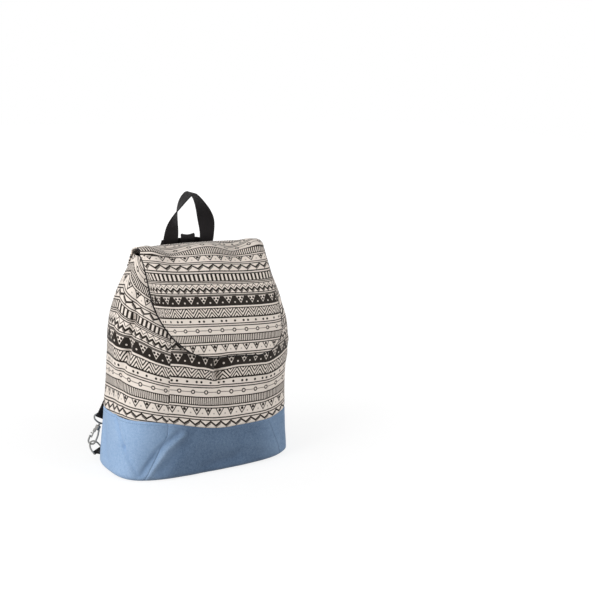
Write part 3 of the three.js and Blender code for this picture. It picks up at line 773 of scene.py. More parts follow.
class BandPrint:
    """Ink mask of the woven-look bands, over cloth coordinates in millimetres, downwards in one repeat."""

    REPEAT = 174.0
    MOTIF = 24.1
    EDGE = 0.6
    SPREAD = 0.2

    def __init__(self, finish, u, v):
        self.finish = finish
        self.u = u
        self.pos = v.math("FLOORED_MODULO", self.REPEAT)

    def inside(self, depth):
        """One where the depth is above zero, with a soft printed edge."""
        return depth.scaled(1 / self.EDGE, 0.5 + self.SPREAD / self.EDGE, clamp=True)

    def below(self, at):
        return self.pos.scaled(1 / self.EDGE, 0.5 - at / self.EDGE, clamp=True)

    def band(self, low, high):
        return self.below(low) - self.below(high)

    def line(self, at, width):
        return self.inside(width / 2 - abs(self.pos - at))

    def pair(self, first, second, width):
        gap = abs(abs(self.pos - (first + second) / 2) - (second - first) / 2)
        return self.inside(width / 2 - gap)

    def spot(self, across, at, radius):
        return self.inside(radius - self.finish.span(across, self.pos - at))

    def zigzag(self, at, swing, pitch, slip=0.0):
        """Height below a zigzag line."""
        return self.pos - self.u.folded(pitch, slip).scaled(4 * swing / pitch, at - swing)

    def stroke(self, depth, width):
        return self.inside(width / 2 - abs(depth))

    def dark_band(self):
        """Black band with pale hanging triangles, three dots in each and one between."""
        across = self.u.folded(self.MOTIF, 9.5)
        triangle = self.inside(self.pos.scaled(-0.51, 7.35) - across * 0.86)
        dots = self.spot(across - 3.3, 4.3, 2.1) + self.spot(across, 9.2, 2.0)
        between = self.spot(self.MOTIF / 2 - across, 12.6, 1.3)
        pale = triangle * (1 - dots) * self.band(0.8, 17.0)
        return self.band(0.0, 19.4) + self.band(172.7, self.REPEAT) - pale - between

    def chevrons(self):
        """Nested chevrons that end in small dark triangles above and below."""
        low, high, pitch = 23.2, 40.6, 7.7
        rise = high - low
        slope = self.u.folded(self.MOTIF, 9.5).scaled(-2 * rise / self.MOTIF, rise)
        across = abs(self.pos - low - slope)
        stripes = (across * (2 * math.pi / pitch)).math("COSINE").scaled(2.4, 0.25, clamp=True)
        ends = self.inside(across - 13.9)
        return stripes.math("MAXIMUM", ends) * self.band(low, high)

    def dot_row(self):
        period, apart = 43.4, 4.4
        across = self.u.folded(period, 0.4)
        nearest = abs(across - apart).math("MINIMUM", period / 2 - across)
        return self.spot(nearest, 48.4, 2.0)

    def ring_row(self):
        at, radius = 66.0, 2.9
        across = self.u.folded(self.MOTIF, 6.0)
        reach = self.finish.span(across, self.pos - at)
        ring = self.inside(0.8 - abs(reach - radius))
        cord = self.line(at, 1.0) * self.inside(reach - radius)
        return ring.math("MAXIMUM", cord * 0.75)

    def hatching(self):
        bars = self.finish.wave(self.u, 3.8).scaled(1.5, 0.62, clamp=True)
        return bars * self.band(75.5, 88.2)

    def triangle_row(self):
        """Dark hanging triangles, large and small by turns, with a dark heart; a speck on the pale ones."""
        pitch, top, depth = 21.7, 93.0, 13.4
        across = self.u.folded(pitch, 3.0)
        larger = ((self.u + 3.0) * (math.pi / pitch)).math("COSINE").scaled(1.1, 7.9)
        inset = (larger * self.pos.scaled(-1 / depth, 1 + top / depth) - across) * 0.87
        rim = self.inside(inset) - self.inside(inset - 1.9)
        heart = self.spot(across, top + 3.8, 2.4)
        speck = self.spot(pitch / 2 - across, top + 9.4, 1.1) * 0.6
        return (rim + heart) * self.band(top, top + depth) + speck

    def shaded(self, at, swing, pitch, width):
        """Bold zigzag with a grey shade under its rising flanks."""
        depth = self.zigzag(at, swing, pitch)
        rising = self.finish.wave(self.u, pitch).scaled(-3.0, 0.5, clamp=True)
        shade = self.stroke(depth - width * 0.8, width) * rising
        return self.stroke(depth, width).math("MAXIMUM", shade * 0.8)

    def bars(self):
        """Ladder of bars between two frame lines."""
        low, high = 130.8, 144.6
        rungs = self.inside(1.9 - self.u.folded(8.2)) * self.band(low, high)
        return rungs.math("MAXIMUM", self.pair(low + 0.6, high - 0.6, 1.4))

    def fine_zigzag(self):
        return self.stroke(self.zigzag(154.2, 3.4, 12.2), 1.4)

    def mask(self):
        lines = (
            self.line(23.4, 1.3)
            + self.line(41.6, 2.6)
            + self.line(74.8, 1.6)
            + self.pair(53.8, 58.0, 1.6)
            + self.pair(88.4, 92.9, 1.6)
            + self.pair(109.2, 113.6, 1.7)
            + self.line(127.6, 1.6)
            + self.pair(146.6, 149.6, 1.3)
            + self.pair(168.2, 171.6, 1.4)
        )
        motifs = (
            self.dark_band()
            + self.chevrons()
            + self.dot_row()
            + self.ring_row()
            + self.hatching()
            + self.triangle_row()
            + self.shaded(119.4, 3.4, 19.6, 3.3)
            + self.bars()
            + self.fine_zigzag().math("MAXIMUM", self.shaded(160.9, 3.0, 12.2, 4.5))
        )
        return lines.math("ADD", motifs, clamp=True)


# Finishes, with their thread pitches in millimetres

CANVAS_PITCH, TWILL_PITCH, RIB_PITCH, CORD_PITCH = 1.1, 1.6, 2.1, 1.3


def weave(finish, u, v, pitch):
    """Plain weave: warp and weft pass over each other by turns."""
    return finish.wave(u, pitch) * finish.wave(v, pitch)


def printed_canvas():
    finish = Finish("band_print")
    c = colours()
    place = finish.place()
    u, v = finish.cloth()
    uneven = finish.noise(place, 420.0, 3.0) - 0.5
    ink = BandPrint(finish, u + uneven * 0.9, v + uneven * 0.7).mask()
    worn = finish.noise(place, 900.0, 2.0).scaled(0.3, 0.89, clamp=True)
    slubs = finish.noise(place, 160.0, 4.0, 0.65)
    cream = finish.blend(slubs.scaled(0.9, -0.25, clamp=True), c.cream, c.slub)
    # Painted shade: the canvas turns darker where a crease sinks in
    dusk = finish.crease().scaled(-0.07, 0.0, clamp=True)
    ground = finish.blend(dusk, cream, c.dusk)
    finish.set(
        Base_Color=finish.blend(ink * worn, ground, c.ink),
        Roughness=finish.noise(place, 240.0).scaled(0.12, 0.80) - ink * 0.06,
        Specular_IOR_Level=0.22,
        Sheen_Weight=0.25,
        Sheen_Roughness=0.4,
        Sheen_Tint=(1.0, 0.96, 0.92),
    )
    finish.bump(weave(finish, u, v, CANVAS_PITCH) * 0.5 + slubs * 0.9 - ink * 0.15, 0.00022, 0.55)
    return finish.material


def plain_canvas():
    finish = Finish("canvas_lining")
    place = finish.place()
    u, v = finish.cloth()
    slubs = finish.noise(place, 180.0, 4.0, 0.6)
    finish.set(
        Base_Color=finish.blend(slubs, colours().lining, colours().lining_slub),
        Roughness=slubs.scaled(0.1, 0.82),
        Specular_IOR_Level=0.2,
    )
    finish.bump(weave(finish, u, v, CANVAS_PITCH) * 0.5 + slubs, 0.0002, 0.5)
    return finish.material


def denim_cloth():
    finish = Finish("denim_twill")
    c = colours()
    # Painted light: each wall's share of the paler lamplit denim, set per wall
    fade = finish.attribute("fade")
    place = finish.place()
    u, v = finish.cloth()
    twill = finish.wave(u + v, TWILL_PITCH)
    threads = finish.noise(place, 620.0, 3.0, 0.7)
    streaks = finish.node("ShaderNodeCombineXYZ", None, {0: u * 0.5, 1: v * 0.06})
    slubs = finish.noise(streaks, 3.0, 4.0, 0.7)
    clouds = finish.noise(place, 26.0, 3.0)
    heather = finish.noise(place, 250.0, 2.0)
    # Painted highlight where the cloth stands out on a fold, and painted shade in its hollows
    ridge_highlight = finish.crease().scaled(0.05, 0.0, clamp=True)
    hollow = finish.crease().scaled(-0.09, 0.0, clamp=True)
    grain = twill * 0.07 + threads * 0.75 + slubs * 0.5
    pale = (grain + clouds * 0.2 + heather * 0.5 + ridge_highlight).scaled(1.0, -0.73, clamp=True)
    warp = finish.blend(fade, c.denim, c.faded)
    blue = finish.blend(pale, warp, finish.blend(fade, c.weft, c.faded_weft))
    finish.set(
        Base_Color=finish.blend(hollow, blue, warp),
        Roughness=threads.scaled(0.14, 0.80),
        Specular_IOR_Level=0.16,
        Sheen_Weight=0.4,
        Sheen_Roughness=0.45,
        Sheen_Tint=(0.74, 0.86, 1.0),
    )
    finish.bump(twill * 0.4 + threads * 0.8 + slubs * 0.5, 0.00024, 0.6)
    return finish.material


def ribbed_webbing():
    finish = Finish("ribbed_webbing")
    place = finish.place()
    u, v = finish.cloth()
    ribs = finish.wave(v, RIB_PITCH)
    cords = finish.wave(u + ribs * 0.25, CORD_PITCH)
    fuzz = finish.noise(place, 700.0, 3.0, 0.6)
    lit = (ribs * 0.16 + cords * 0.12 + fuzz * 0.7).scaled(1.0, -0.1, clamp=True)
    finish.set(
        Base_Color=finish.blend(lit, colours().webbing, colours().raised_webbing),
        Roughness=fuzz.scaled(0.2, 0.58),
        Specular_IOR_Level=0.3,
    )
    finish.bump(ribs * 0.7 + cords * 0.45 + fuzz * 0.3, 0.0003, 0.7)
    return finish.material


def nickel_plate():
    finish = Finish("nickel_plate")
    place = finish.place()
    scuffs = finish.noise(place, 520.0, 4.0, 0.7)
    haze = finish.noise(place, 90.0, 3.0)
    finish.set(
        Base_Color=finish.blend(haze, colours().nickel, colours().haze),
        Metallic=1.0,
        Roughness=(scuffs * 0.24 + haze * 0.14).scaled(1.0, 0.16),
    )
    finish.bump(scuffs, 0.00004, 0.3)
    return finish.material


def sewing_thread(name):
    """Thread in the colour of the same name."""
    finish = Finish(name)
    colour = tuple(getattr(colours(), name))
    strands = finish.noise(finish.place(), 2400.0, 2.0)
    deep = tuple(0.62 * c for c in colour)
    finish.set(Base_Color=finish.blend(strands, colour, deep), Roughness=0.7)
    finish.bump(strands, 0.0001, 0.5)
    return finish.material


def finish_named(name, make):
    """The finish of that name, made once."""
    return bpy.data.materials.get(name) or make()


def canvas():
    return [finish_named("band_print", printed_canvas), finish_named("canvas_lining", plain_canvas)]


def denim():
    return [finish_named("denim_twill", denim_cloth), finish_named("canvas_lining", plain_canvas)]


def black():
    return [finish_named("ribbed_webbing", ribbed_webbing)]


def plated():
    return [finish_named("nickel_plate", nickel_plate)]


# Sewn panels

# Columns of each wall, and rows of its printed panel, the base's rounded edge and the denim above it
WALLS = {"front": 120, "back": 150, "left": 124, "right": 124}
PRINTED_ROWS, EDGE_ROWS, DENIM_ROWS = 124, 10, 42

# Where in its repeat the print meets the base seam
SEAM_PRINT = 0.1268

# Where along a panel, from corner seam to corner seam, the values below hold
STRETCH_AT, RISE_AT, DENIM_LIGHT_AT = (0, 0.5, 1), (0, 0.35, 1), (0, 0.18, 0.82, 1)

# How the print lies on a panel: its stretch and its rise along the panel, and its width
Lay = namedtuple("Lay", "stretch rise width")
LEVEL = (0.0, 0.0, 0.0)
LAYS = {
    "front": Lay((1.03, 0.93, 1.02), LEVEL, 0.94),
    "back": Lay((0.98, 0.98, 0.98), LEVEL, 1.0),
    "left": Lay((1.08, 0.87, 0.885), (0.0, 0.0064, -0.003), 1.12),
    "right": Lay((1.02, 0.98, 0.95), LEVEL, 1.0),
}

# How much painted light the denim takes along a panel: its share of the paler lamplit colours, most on the
# left side, which faces the key light
DENIM_LIGHT = {
    "front": (0.62, 0.0, 0.0, 0.36),
    "back": (0.3, 0.2, 0.2, 0.5),
    "left": (0.50, 0.95, 1.0, 0.9),
    "right": (0.42, 0.35, 0.35, 0.3),
}


def panel_node(wall, base=False):
    label = f"{wall}_panel" if wall in ("front", "back") else f"{wall}_side_panel"
    return f"base_{label}" if base else label


def sewn_panel(name, wall, heights, base_seam, print_at):
    """A panel from its columns of heights, turned in along its seams."""
    b = body()
    half_width, half_depth, _, _ = section(np.array(b.seam_z))
    reach = half_width if wall in ("front", "back") else half_depth
    across = np.linspace(-1, 1, WALLS[wall])[:, None] * (1 - b.seam_gap / reach)
    seam = seam_height(wall_points(wall, across, np.full_like(across, b.seam_z))[..., 0])
    z = heights(seam)
    even = wall_points(wall, np.broadcast_to(across, z.shape), z)
    out = wall_normals(even)
    u = run_length(even, 0)
    left, right = u, u[-1:] - u
    u = u - u[-1:] / 2
    v = run_length(even, 1)
    level = v if base_seam == "low" else v[:, -1:] - v
    edges = ((left, 0.5), (right, 0.5), (level, 1.0))
    tuck = sum(share * b.seam_tuck * np.exp(-((gap / b.seam_roll) ** 2)) for gap, share in edges)
    points, lift = folded(slack(even, out, BODY_SLACK), out, BODY_FOLDS)
    points = points - tuck[..., None] * out
    points[..., 2] = np.maximum(points[..., 2], 0)
    uv = np.stack(print_at(u, v), axis=-1)
    made[name] = points, out, v
    return cloth_mesh(name, points, points - b.cloth * out, uv, lift - tuck)


class BACKPACK_OT_printed_panels(Operator):
    """Sews the four printed panels above the base seam"""

    bl_idname = "backpack.printed_panels"
    bl_label = "Printed Panels"

    def execute(self, context):
        rows = np.linspace(0, 1, PRINTED_ROWS)

        def heights(seam):
            return mix(seam + body().seam_gap, body().mouth_z, rows)

        for wall in WALLS:
            lay = LAYS[wall]
            place = np.linspace(0, 1, WALLS[wall])[:, None]
            stretch = np.interp(place, STRETCH_AT, lay.stretch)
            rise = np.interp(place, RISE_AT, lay.rise)

            def print_at(u, v):
                return u * lay.width, SEAM_PRINT + rise - stretch * v

            mesh = sewn_panel(f"{wall}_canvas", wall, heights, "low", print_at)
            piece(f"{wall}_canvas", mesh, canvas(), "bag", PRINTED, panel_node(wall))
        return {"FINISHED"}


# The bottom panel's gap to the walls, its columns for each wall, and its rim's roll and width
BOTTOM_GAP, BOTTOM_COLUMNS = 0.0005, 36
ROLL, ROLL_WIDTH = 0.0004, 0.012


class BACKPACK_OT_denim_base(Operator):
    """Sews the denim base, its four walls and its bottom"""

    bl_idname = "backpack.denim_base"
    bl_label = "Denim Base"

    def execute(self, context):
        edge = body().edge
        turn = np.linspace(0, np.pi / 2, EDGE_ROWS)[:-1]
        rows = np.linspace(0, 1, DENIM_ROWS)

        def heights(seam):
            round_part = np.broadcast_to(edge * (1 - np.cos(turn)), (len(seam), len(turn)))
            return np.concatenate([round_part, mix(edge, seam - body().seam_gap, rows)], axis=1)

        for wall in WALLS:
            mesh = sewn_panel(f"{wall}_denim", wall, heights, "high", lambda u, v: (u, v))
            # Painted light: paler denim on the walls and ends that the key light falls on
            fade = np.interp(np.linspace(0, 1, WALLS[wall]), DENIM_LIGHT_AT, DENIM_LIGHT[wall])
            point_values(mesh, "fade", np.tile(np.repeat(fade, len(turn) + len(rows)), 2))
            piece(f"{wall}_denim", mesh, denim(), "bag", DENIM, panel_node(wall, base=True))
        piece("bottom_denim", self.bottom(), denim(), "bag", DENIM, "bottom_panel")
        return {"FINISHED"}

    def bottom(self):
        """Flat panel with rounded edges, in rings from its rim to its middle."""
        b = body()
        rim = ring_points(0.0, BOTTOM_GAP, BOTTOM_COLUMNS)
        share = np.concatenate([np.linspace(1, 0.94, 5), np.linspace(0.9, 0.02, 30)])
        flat = rim[:, None] * share[None, :, None]
        low = flat.copy()
        low[..., 2] = ROLL * np.exp(-(((1 - share) / ROLL_WIDTH) ** 2))
        high = flat + np.array([0, 0, b.cloth])
        return cloth_mesh("bottom_denim", low, high, low[..., :2], np.zeros(low.shape[:2]), ring=True)


def ring_points(z, inset, count):
    """Points all round the body at one height."""
    walls = []
    for wall in ("front", "right", "back", "left"):
        across = np.linspace(-1, 1, count, endpoint=False) * (-1 if wall == "left" else 1)
        walls.append(wall_points(wall, across, np.full(count, z), inset))
    return np.concatenate(walls)


TAPE_GAP, TAPE_THICK = 0.0012, 0.0012
TAPE_COLUMNS, TAPE_ROWS = 40, 9


class BACKPACK_OT_mouth_tape(Operator):
    """Binds the mouth's rim with black tape"""

    bl_idname = "backpack.mouth_tape"
    bl_label = "Mouth Tape"

    def execute(self, context):
        low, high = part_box("mouth_tape")
        heights = np.linspace(low.z, high.z, TAPE_ROWS)
        outer = body().cloth + TAPE_GAP
        loops = [
            np.stack([ring_points(z, inset, TAPE_COLUMNS) for z in heights], axis=1)
            for inset in (outer, outer + TAPE_THICK)
        ]
        across = np.broadcast_to(heights, loops[0].shape[:2])
        uv = np.stack([across, run_length(loops[0], 0)], axis=-1)
        mesh = cloth_mesh("mouth_binding", *loops, uv, np.zeros(uv.shape[:2]), ring=True)
        piece("mouth_binding", mesh, black() * 2, "bag", WEBBING, "mouth_tape")
        return {"FINISHED"}


# Flap

# Rows of the tail, the arch over the mouth and the drop; columns, which close up at the sides
TAIL_ROWS, ARCH_ROWS, DROP_ROWS = 14, 46, 104
FLAP_COLUMNS, COLUMN_EASE = 150, 0.8
MIDDLE = FLAP_COLUMNS // 2

# First row of the edge that is piped and stitched
EDGE_FIRST = TAIL_ROWS + int(ARCH_ROWS * 0.6)
PIPING_POINTS = 300

# The print at the free edge, its stretch and slant, and where it gives way near the fold
FLAP_PRINT, FLAP_STRETCH, FLAP_SKEW = 0.1157, 1.136, 0.064
FLAP_EASE, EASE_AT, EASE_WIDTH = 0.0058, -0.062, 0.020

# Where the waves over the mouth are highest, below the fold, and how far they reach back and forward
WAVE_AT, WAVE_BACK, WAVE_FRONT = -0.016, 0.017, 0.046

FLAP_FOLDS = (
    # Hollow on each side of the fold over the mouth
    Fold((-0.072, -0.034, 0.372), (-0.066, -0.010, 0.386), 0.016, -0.0036, STILL),
    Fold((0.050, -0.034, 0.372), (0.056, -0.010, 0.386), 0.015, -0.0030, STILL),
    # Corners that stand up at the ends of the fold
    Fold((-0.106, -0.020, 0.378), (-0.100, 0.010, 0.384), 0.012, 0.0030, STILL),
    Fold((0.104, -0.020, 0.378), (0.100, 0.010, 0.384), 0.012, 0.0026, STILL),
    # Free edge lifted a little beside the snap
    Fold((-0.085, -0.088, 0.232), (-0.020, -0.094, 0.214), 0.017, 0.0060, STILL),
    Fold((-0.020, -0.094, 0.214), (0.090, -0.090, 0.208), 0.015, 0.0034, STILL),
    # Soft dents down the front
    Fold((-0.030, -0.078, 0.290), (0.020, -0.082, 0.270), 0.022, -0.0014, STILL),
    Fold((0.070, -0.080, 0.275), (0.092, -0.084, 0.240), 0.018, -0.0018, STILL),
    Fold((-0.086, -0.070, 0.300), (-0.094, -0.080, 0.260), 0.014, -0.0014, STILL),
)


def leaning(z, clearance):
    """Level distance that gives the asked clearance from the leaning front."""
    slope = (front_y(0.0, z + MM) - front_y(0.0, z)) / MM
    return clearance * np.hypot(1, slope)


def flap_column(across):
    f = flap()
    wide, high = (f.left_x, f.left_z) if across < 0 else (f.right_x, f.right_z)
    flat = 1 - wide / f.end_half
    q = np.clip((abs(across) - flat) / (1 - flat), 0, 1)
    end = f.end_z + high * (1 - np.sqrt(1 - q * q))
    end -= f.askew * across * mix(0.25, 1, across * across)
    behind = f.back_gap + f.edge_lift * across**4

    def half(z):
        return across * mix(f.end_half, f.top_half, np.clip((z - f.end_z) / f.widening, 0, 1))

    def front(x, z):
        return front_y(x, z, leaning(z, f.standoff))

    x = half(f.fold_z)
    ends = back_y(x, f.fold_z, behind), front(x, f.fold_z)
    middle, reach = sum(ends) / 2, (ends[0] - ends[1]) / 2
    rise = (f.crown_z - f.fold_z) * (1 - 0.3 * across * across)
    z = np.linspace(f.tail_z, f.fold_z, TAIL_ROWS)
    tail = np.stack([np.full_like(z, x), back_y(x, z, behind), z], axis=1)
    t = np.linspace(0, np.pi, ARCH_ROWS)[1:-1]
    arch = np.stack([np.full_like(t, x), middle + reach * np.cos(t), f.fold_z + rise * np.sin(t)], axis=1)
    z = np.linspace(f.fold_z, end, DROP_ROWS)
    drop = np.stack([half(z), front(half(z), z), z], axis=1)
    return np.concatenate([tail, arch, drop])


def grid_normals(grid):
    return unit(np.cross(np.gradient(grid, axis=0), np.gradient(grid, axis=1)))


def flap_grid():
    """The flap's middle surface, its outward directions, cloth coordinates and folds."""
    f = flap()
    t = np.linspace(-1, 1, FLAP_COLUMNS)
    even = np.stack([flap_column(a) for a in np.sign(t) * np.abs(t) ** COLUMN_EASE])
    out = -grid_normals(even)
    if out[MIDDLE, -1, 1] > 0:
        out = -out
    along = run_length(even, 1)
    fold = TAIL_ROWS + ARCH_ROWS - 2
    down = along - along[:, fold : fold + 1]
    across = run_length(even, 0)
    across = across - (across[MIDDLE] + across[MIDDLE - 1]) / 2
    behind = np.exp(-((np.minimum(down - WAVE_AT, 0) / WAVE_BACK) ** 2))
    before = np.exp(-((np.maximum(down - WAVE_AT, 0) / WAVE_FRONT) ** 2))
    wave = f.wave * np.cos(2 * np.pi * even[..., 0] / f.wave_length) * behind * before
    waved = slack(even + wave[..., None] * out, out, FLAP_SLACK)
    points, lift = folded(waved, out, FLAP_FOLDS)
    length = down[MIDDLE, -1]
    print_down = FLAP_PRINT + FLAP_STRETCH * (down - length - FLAP_SKEW * even[..., 0])
    eased = FLAP_EASE * np.exp(-(((print_down - EASE_AT) / EASE_WIDTH) ** 2))
    uv = np.stack([across, print_down + eased], axis=-1)
    return points, out, uv, lift


class BACKPACK_OT_flap(Operator):
    """Drapes the printed flap over the mouth and pipes its free edge"""

    bl_idname = "backpack.flap"
    bl_label = "Flap"

    def execute(self, context):
        f = flap()
        points, out, uv, lift = flap_grid()
        out = grid_normals(points) * np.sign((grid_normals(points) * out).sum(-1, keepdims=True))
        half = f.thickness / 2 * out
        made["flap"] = points + half, out
        mesh = cloth_mesh("flap_cloth", points + half, points - half, uv, lift)
        cloth = piece("flap_cloth", mesh, canvas(), "bag", PRINTED, "flap")
        trim = self.piping(points, out)
        return {"FINISHED"}

    def piping(self, points, out):
        """Black piping from the fold down one side, along the free edge and up the other."""
        sides = slice(EDGE_FIRST, -1)
        edge, lift = (np.concatenate([g[0, sides], g[:, -1], g[-1, sides][::-1]]) for g in (points, out))
        aside = unit(np.cross(np.gradient(edge, axis=0), lift))
        middle = np.array([0, edge[:, 1].mean(), edge[:, 2].mean()])
        aside *= np.sign((aside * (edge - middle)).sum(-1).mean())
        path = spaced(edge + flap().piping * 0.8 * aside, PIPING_POINTS)
        facing = unit(spaced(lift, PIPING_POINTS))
        mesh = sweep_mesh("flap_edging", path, facing, round_profile(flap().piping, 10))
        return piece("flap_edging", mesh, black(), "bag", WEBBING, "flap_piping")


# Handle and strap

# The handle's foot up the slope, then its leg as shares of the half spacing and drops below the top
HANDLE_FOOT = (-0.012, 0.008, 0.025)
HANDLE_LEG = ((0.92, 0.054), (0.62, 0.025), (0.26, 0.006))
BAND_GAP = 0.0006


def crest(x, s, h):
    """Point on the back of the flap's tail: s up the slope, h out from the back."""
    w = webbing()
    foot = np.array([0, back_y(0.0, w.crest_z), w.crest_z])
    up, out = crest_frame()
    point = foot + s * up + h * out
    point[0] = x
    return point


def crest_frame():
    z = webbing().crest_z
    step = 0.006
    up = unit([0, back_y(0.0, z + step) - back_y(0.0, z - step), 2 * step])
    return up, np.cross(up, [1, 0, 0])


class BACKPACK_OT_handle(Operator):
    """Makes the twisted grab handle and the loop band over its feet"""

    bl_idname = "backpack.handle"
    bl_label = "Grab Handle"

    def execute(self, context):
        piece("handle_webbing", self.arch(), black(), "bag", WEBBING, "carry_handle")
        piece("loop_band_webbing", self.band(), black() * 2, "bag", WEBBING, "strap_loop_band")
        return {"FINISHED"}

    def arch(self):
        w = webbing()
        half, y, top = w.handle_spacing / 2, w.handle_y, w.handle_top
        left = [crest(-half, s, w.handle_lay) for s in HANDLE_FOOT]
        left += [np.array([-half * share, y, top - drop]) for share, drop in HANDLE_LEG]
        right = [p * MIRROR for p in left[::-1]]
        path = smooth_path([*left, (0, y, top), *right], 150)
        ahead = unit(np.gradient(path, axis=0))
        side = unit(np.cross([0, 1, 0], ahead))
        turn = (np.pi / 2) * smooth(path[:, 2:], body().top_z + 0.002, top)
        side = np.cos(turn) * side + np.sin(turn) * np.cross(ahead, side)
        made["handle"] = path, side
        return sweep_mesh("handle_webbing", path, side, flat_profile(w.handle_width, w.handle_thick))

    def band(self):
        w = webbing()
        lay = w.handle_lay + (w.handle_thick + w.band_thick) / 2 + BAND_GAP
        inner = (w.handle_spacing - w.handle_width) / 2 + 0.001
        x = np.linspace(-w.band_half, w.band_half, 90)
        bowed = lay + w.band_bow * (1 - smooth(np.abs(x), inner * 0.72, inner + 0.007))
        run = np.linspace(w.band_low, w.band_high, 14)
        grid = np.stack([[crest(a, s, h) for s in run] for a, h in zip(x, bowed)])
        out = crest_frame()[1]
        uv = np.stack([np.broadcast_to(run, grid.shape[:2]), run_length(grid, 0)], axis=-1)
        half = w.band_thick / 2 * out
        made["band"] = grid + half, out
        return cloth_mesh("loop_band_webbing", grid + half, grid - half, uv, np.zeros(uv.shape[:2]))


# The strand's bend, how much of the way there is straight, and the strap's turn over the loop band
STRAP_BEND, STRAIGHT = np.array([-0.065, 0.092, 0.215]), 0.75
TURN_OVER, TURN_HALF = 0.0008, 0.003

# How far a bore runs past its sleeve
BORE_SPARE = 0.004

LOWER_TAB_ROOT = np.array([-0.146, 0.066, 0.012])
LOWER_TAB_OUT = np.array([-0.6, 0.8, 0])
MIRROR = np.array([-1, 1, 1])


class Corner:
    """Where the left lower tab, ring, hook and strap end sit; the right ones are their mirror images."""

    def __init__(self):
        m = metal()
        self.along = unit(np.cross(LOWER_TAB_OUT, [0, 0, 1]))
        self.pivot = LOWER_TAB_ROOT + m.lower_reach * LOWER_TAB_OUT
        up = np.array([0, 0, 1])
        self.ring_out = math.cos(m.lower_tilt) * LOWER_TAB_OUT + math.sin(m.lower_tilt) * up
        seat = self.pivot + m.ring_reach * self.ring_out
        self.pull = unit(STRAP_BEND - seat)
        self.hook = seat + m.hook_seat * self.pull
        self.foot = seat + (m.hook_seat + m.eye_bar) * self.pull
        self.normal = unit(np.array([0, 1, 0]) - self.pull[1] * self.pull)
        self.across = -np.cross(self.normal, self.pull)


def strand(corner, lay):
    """One strand from where its straight run ends up to the loop band."""
    w = webbing()
    out = crest_frame()[1]

    def over(x, z, h):
        return np.array([x, back_y(x, z), z]) + h * (out if z > 0.3 else np.array([0, 1, 0]))

    points = [
        mix(corner.foot, STRAP_BEND, STRAIGHT),
        STRAP_BEND,
        over(-0.040, 0.262, 0.0085),
        over(-0.020, 0.305, 0.0085),
        over(-0.009, 0.335, 0.008),
        crest(-0.0042, w.band_low - 0.006, lay),
        crest(-TURN_HALF, w.band_high + TURN_OVER, lay),
    ]
    return smooth_path(points, 90)


class BACKPACK_OT_strap(Operator):
    """Lays the doubled shoulder strap through the loop band, its ends sewn round the hooks' bars"""

    bl_idname = "backpack.strap"
    bl_label = "Shoulder Strap"

    def execute(self, context):
        w = webbing()
        corner = Corner()
        path, side = self.line(corner)
        made["strap"] = path, side
        parts = [sweep_mesh("strap", path, side, flat_profile(w.strap_width, w.strap_thick))]
        bores = []
        for mirror in (np.ones(3), MIRROR):
            foot, across = corner.foot * mirror, corner.across * mirror
            parts.append(sleeve(foot, across, w.strap_width, w.sleeve))
            bores.append(sleeve(foot, across, w.strap_width + BORE_SPARE, w.sleeve_bore))
        mesh = fuse(parts, bores)
        piece("strap_webbing", mesh, black(), "bag", WEBBING, "shoulder_strap")
        return {"FINISHED"}

    def line(self, corner):
        w = webbing()
        shares = np.linspace(0, STRAIGHT, 60, endpoint=False)[:, None]
        straight = mix(corner.foot, STRAP_BEND, shares)
        radius = (w.strap_out - w.strap_in) / 2
        loop = []
        for t in np.linspace(np.pi, 0, 16):
            x = mix(TURN_HALF, -TURN_HALF, t / np.pi)
            rise = w.band_high + TURN_OVER + radius * np.sin(t)
            loop.append(crest(x, rise, w.strap_in + radius * (1 + np.cos(t))))
        up = strand(corner, w.strap_in)[:-1]
        down = (strand(corner, w.strap_out)[:-1] * MIRROR)[::-1]
        path = np.concatenate([straight, up, loop, down, (straight * MIRROR)[::-1]])
        ahead = np.gradient(path, axis=0)
        first_half = np.arange(len(path))[:, None] < np.argmax(path[:, 2])
        flat = np.where(first_half, -corner.normal, corner.normal * MIRROR)
        level = unit(np.cross([1.0, 0, 0], ahead))
        share = smooth(path[:, 2:], w.crest_z + 0.010, w.crest_z + 0.022)
        return path, unit(np.cross(mix(flat, level, share), ahead))


def sleeve(middle, axis, width, radius):
    """A round webbing loop, or the bore through it, along an axis."""
    ends = np.stack([middle - axis * width / 2, middle + axis * width / 2])
    aside = unit(np.cross(axis, [0.2, 0.5, 0.7]))
    return sweep_mesh("sleeve", spaced(ends, 6), aside, round_profile(radius, 24))


# Hardware, modelled in millimetres round its own axes

SIDES = ("left", "right")
SHARP_ANGLE = math.radians(40)


def basis(origin, x_axis, y_axis):
    """Matrix that puts local millimetres in place."""
    x, y = unit(x_axis), unit(y_axis)
    turn = np.stack([x, y, np.cross(x, y)], axis=1)
    matrix = Matrix.Translation(Vector(origin)) @ Matrix(turn.tolist()).to_4x4()
    return matrix @ Matrix.Scale(MM, 4)


def hardware(name, mesh, matrix, side, rides, slot, materials, *nodes):
    """A copy of a local mesh in its place, mirrored on the right side."""
    copy = mesh.copy()
    copy.transform(matrix)
    if side == "right":
        copy.transform(Matrix.Diagonal((-1, 1, 1, 1)))
        copy.flip_normals()
    copy.polygons.foreach_set("use_smooth", np.ones(len(copy.polygons), bool))
    copy.set_sharp_from_angle(angle=SHARP_ANGLE)
    return piece(name, copy, materials, rides, slot, *nodes)


def wire_loop(foot, side, crown):
    """Closed loop of round wire through half its points and their mirror images."""
    half = [(x, y, 0) for x, y in side]
    other = [(-x, y, 0) for x, y in side[::-1]]
    path = smooth_path([(0, foot, 0), *half, (0, crown, 0), *other], 72, closed=True)
    return sweep_mesh("wire_loop", path, (0, 0, 1), round_profile(metal().wire / MM, 16), closed=True)


def ring_mesh():
    half, reach = metal().ring_half / MM, metal().ring_reach / MM
    side = [(half - 2.6, 0), (half - 0.5, 1.9), (half, 5.5), (half * 0.87, 12.4), (half * 0.5, 17.7)]
    return wire_loop(0, side, reach)


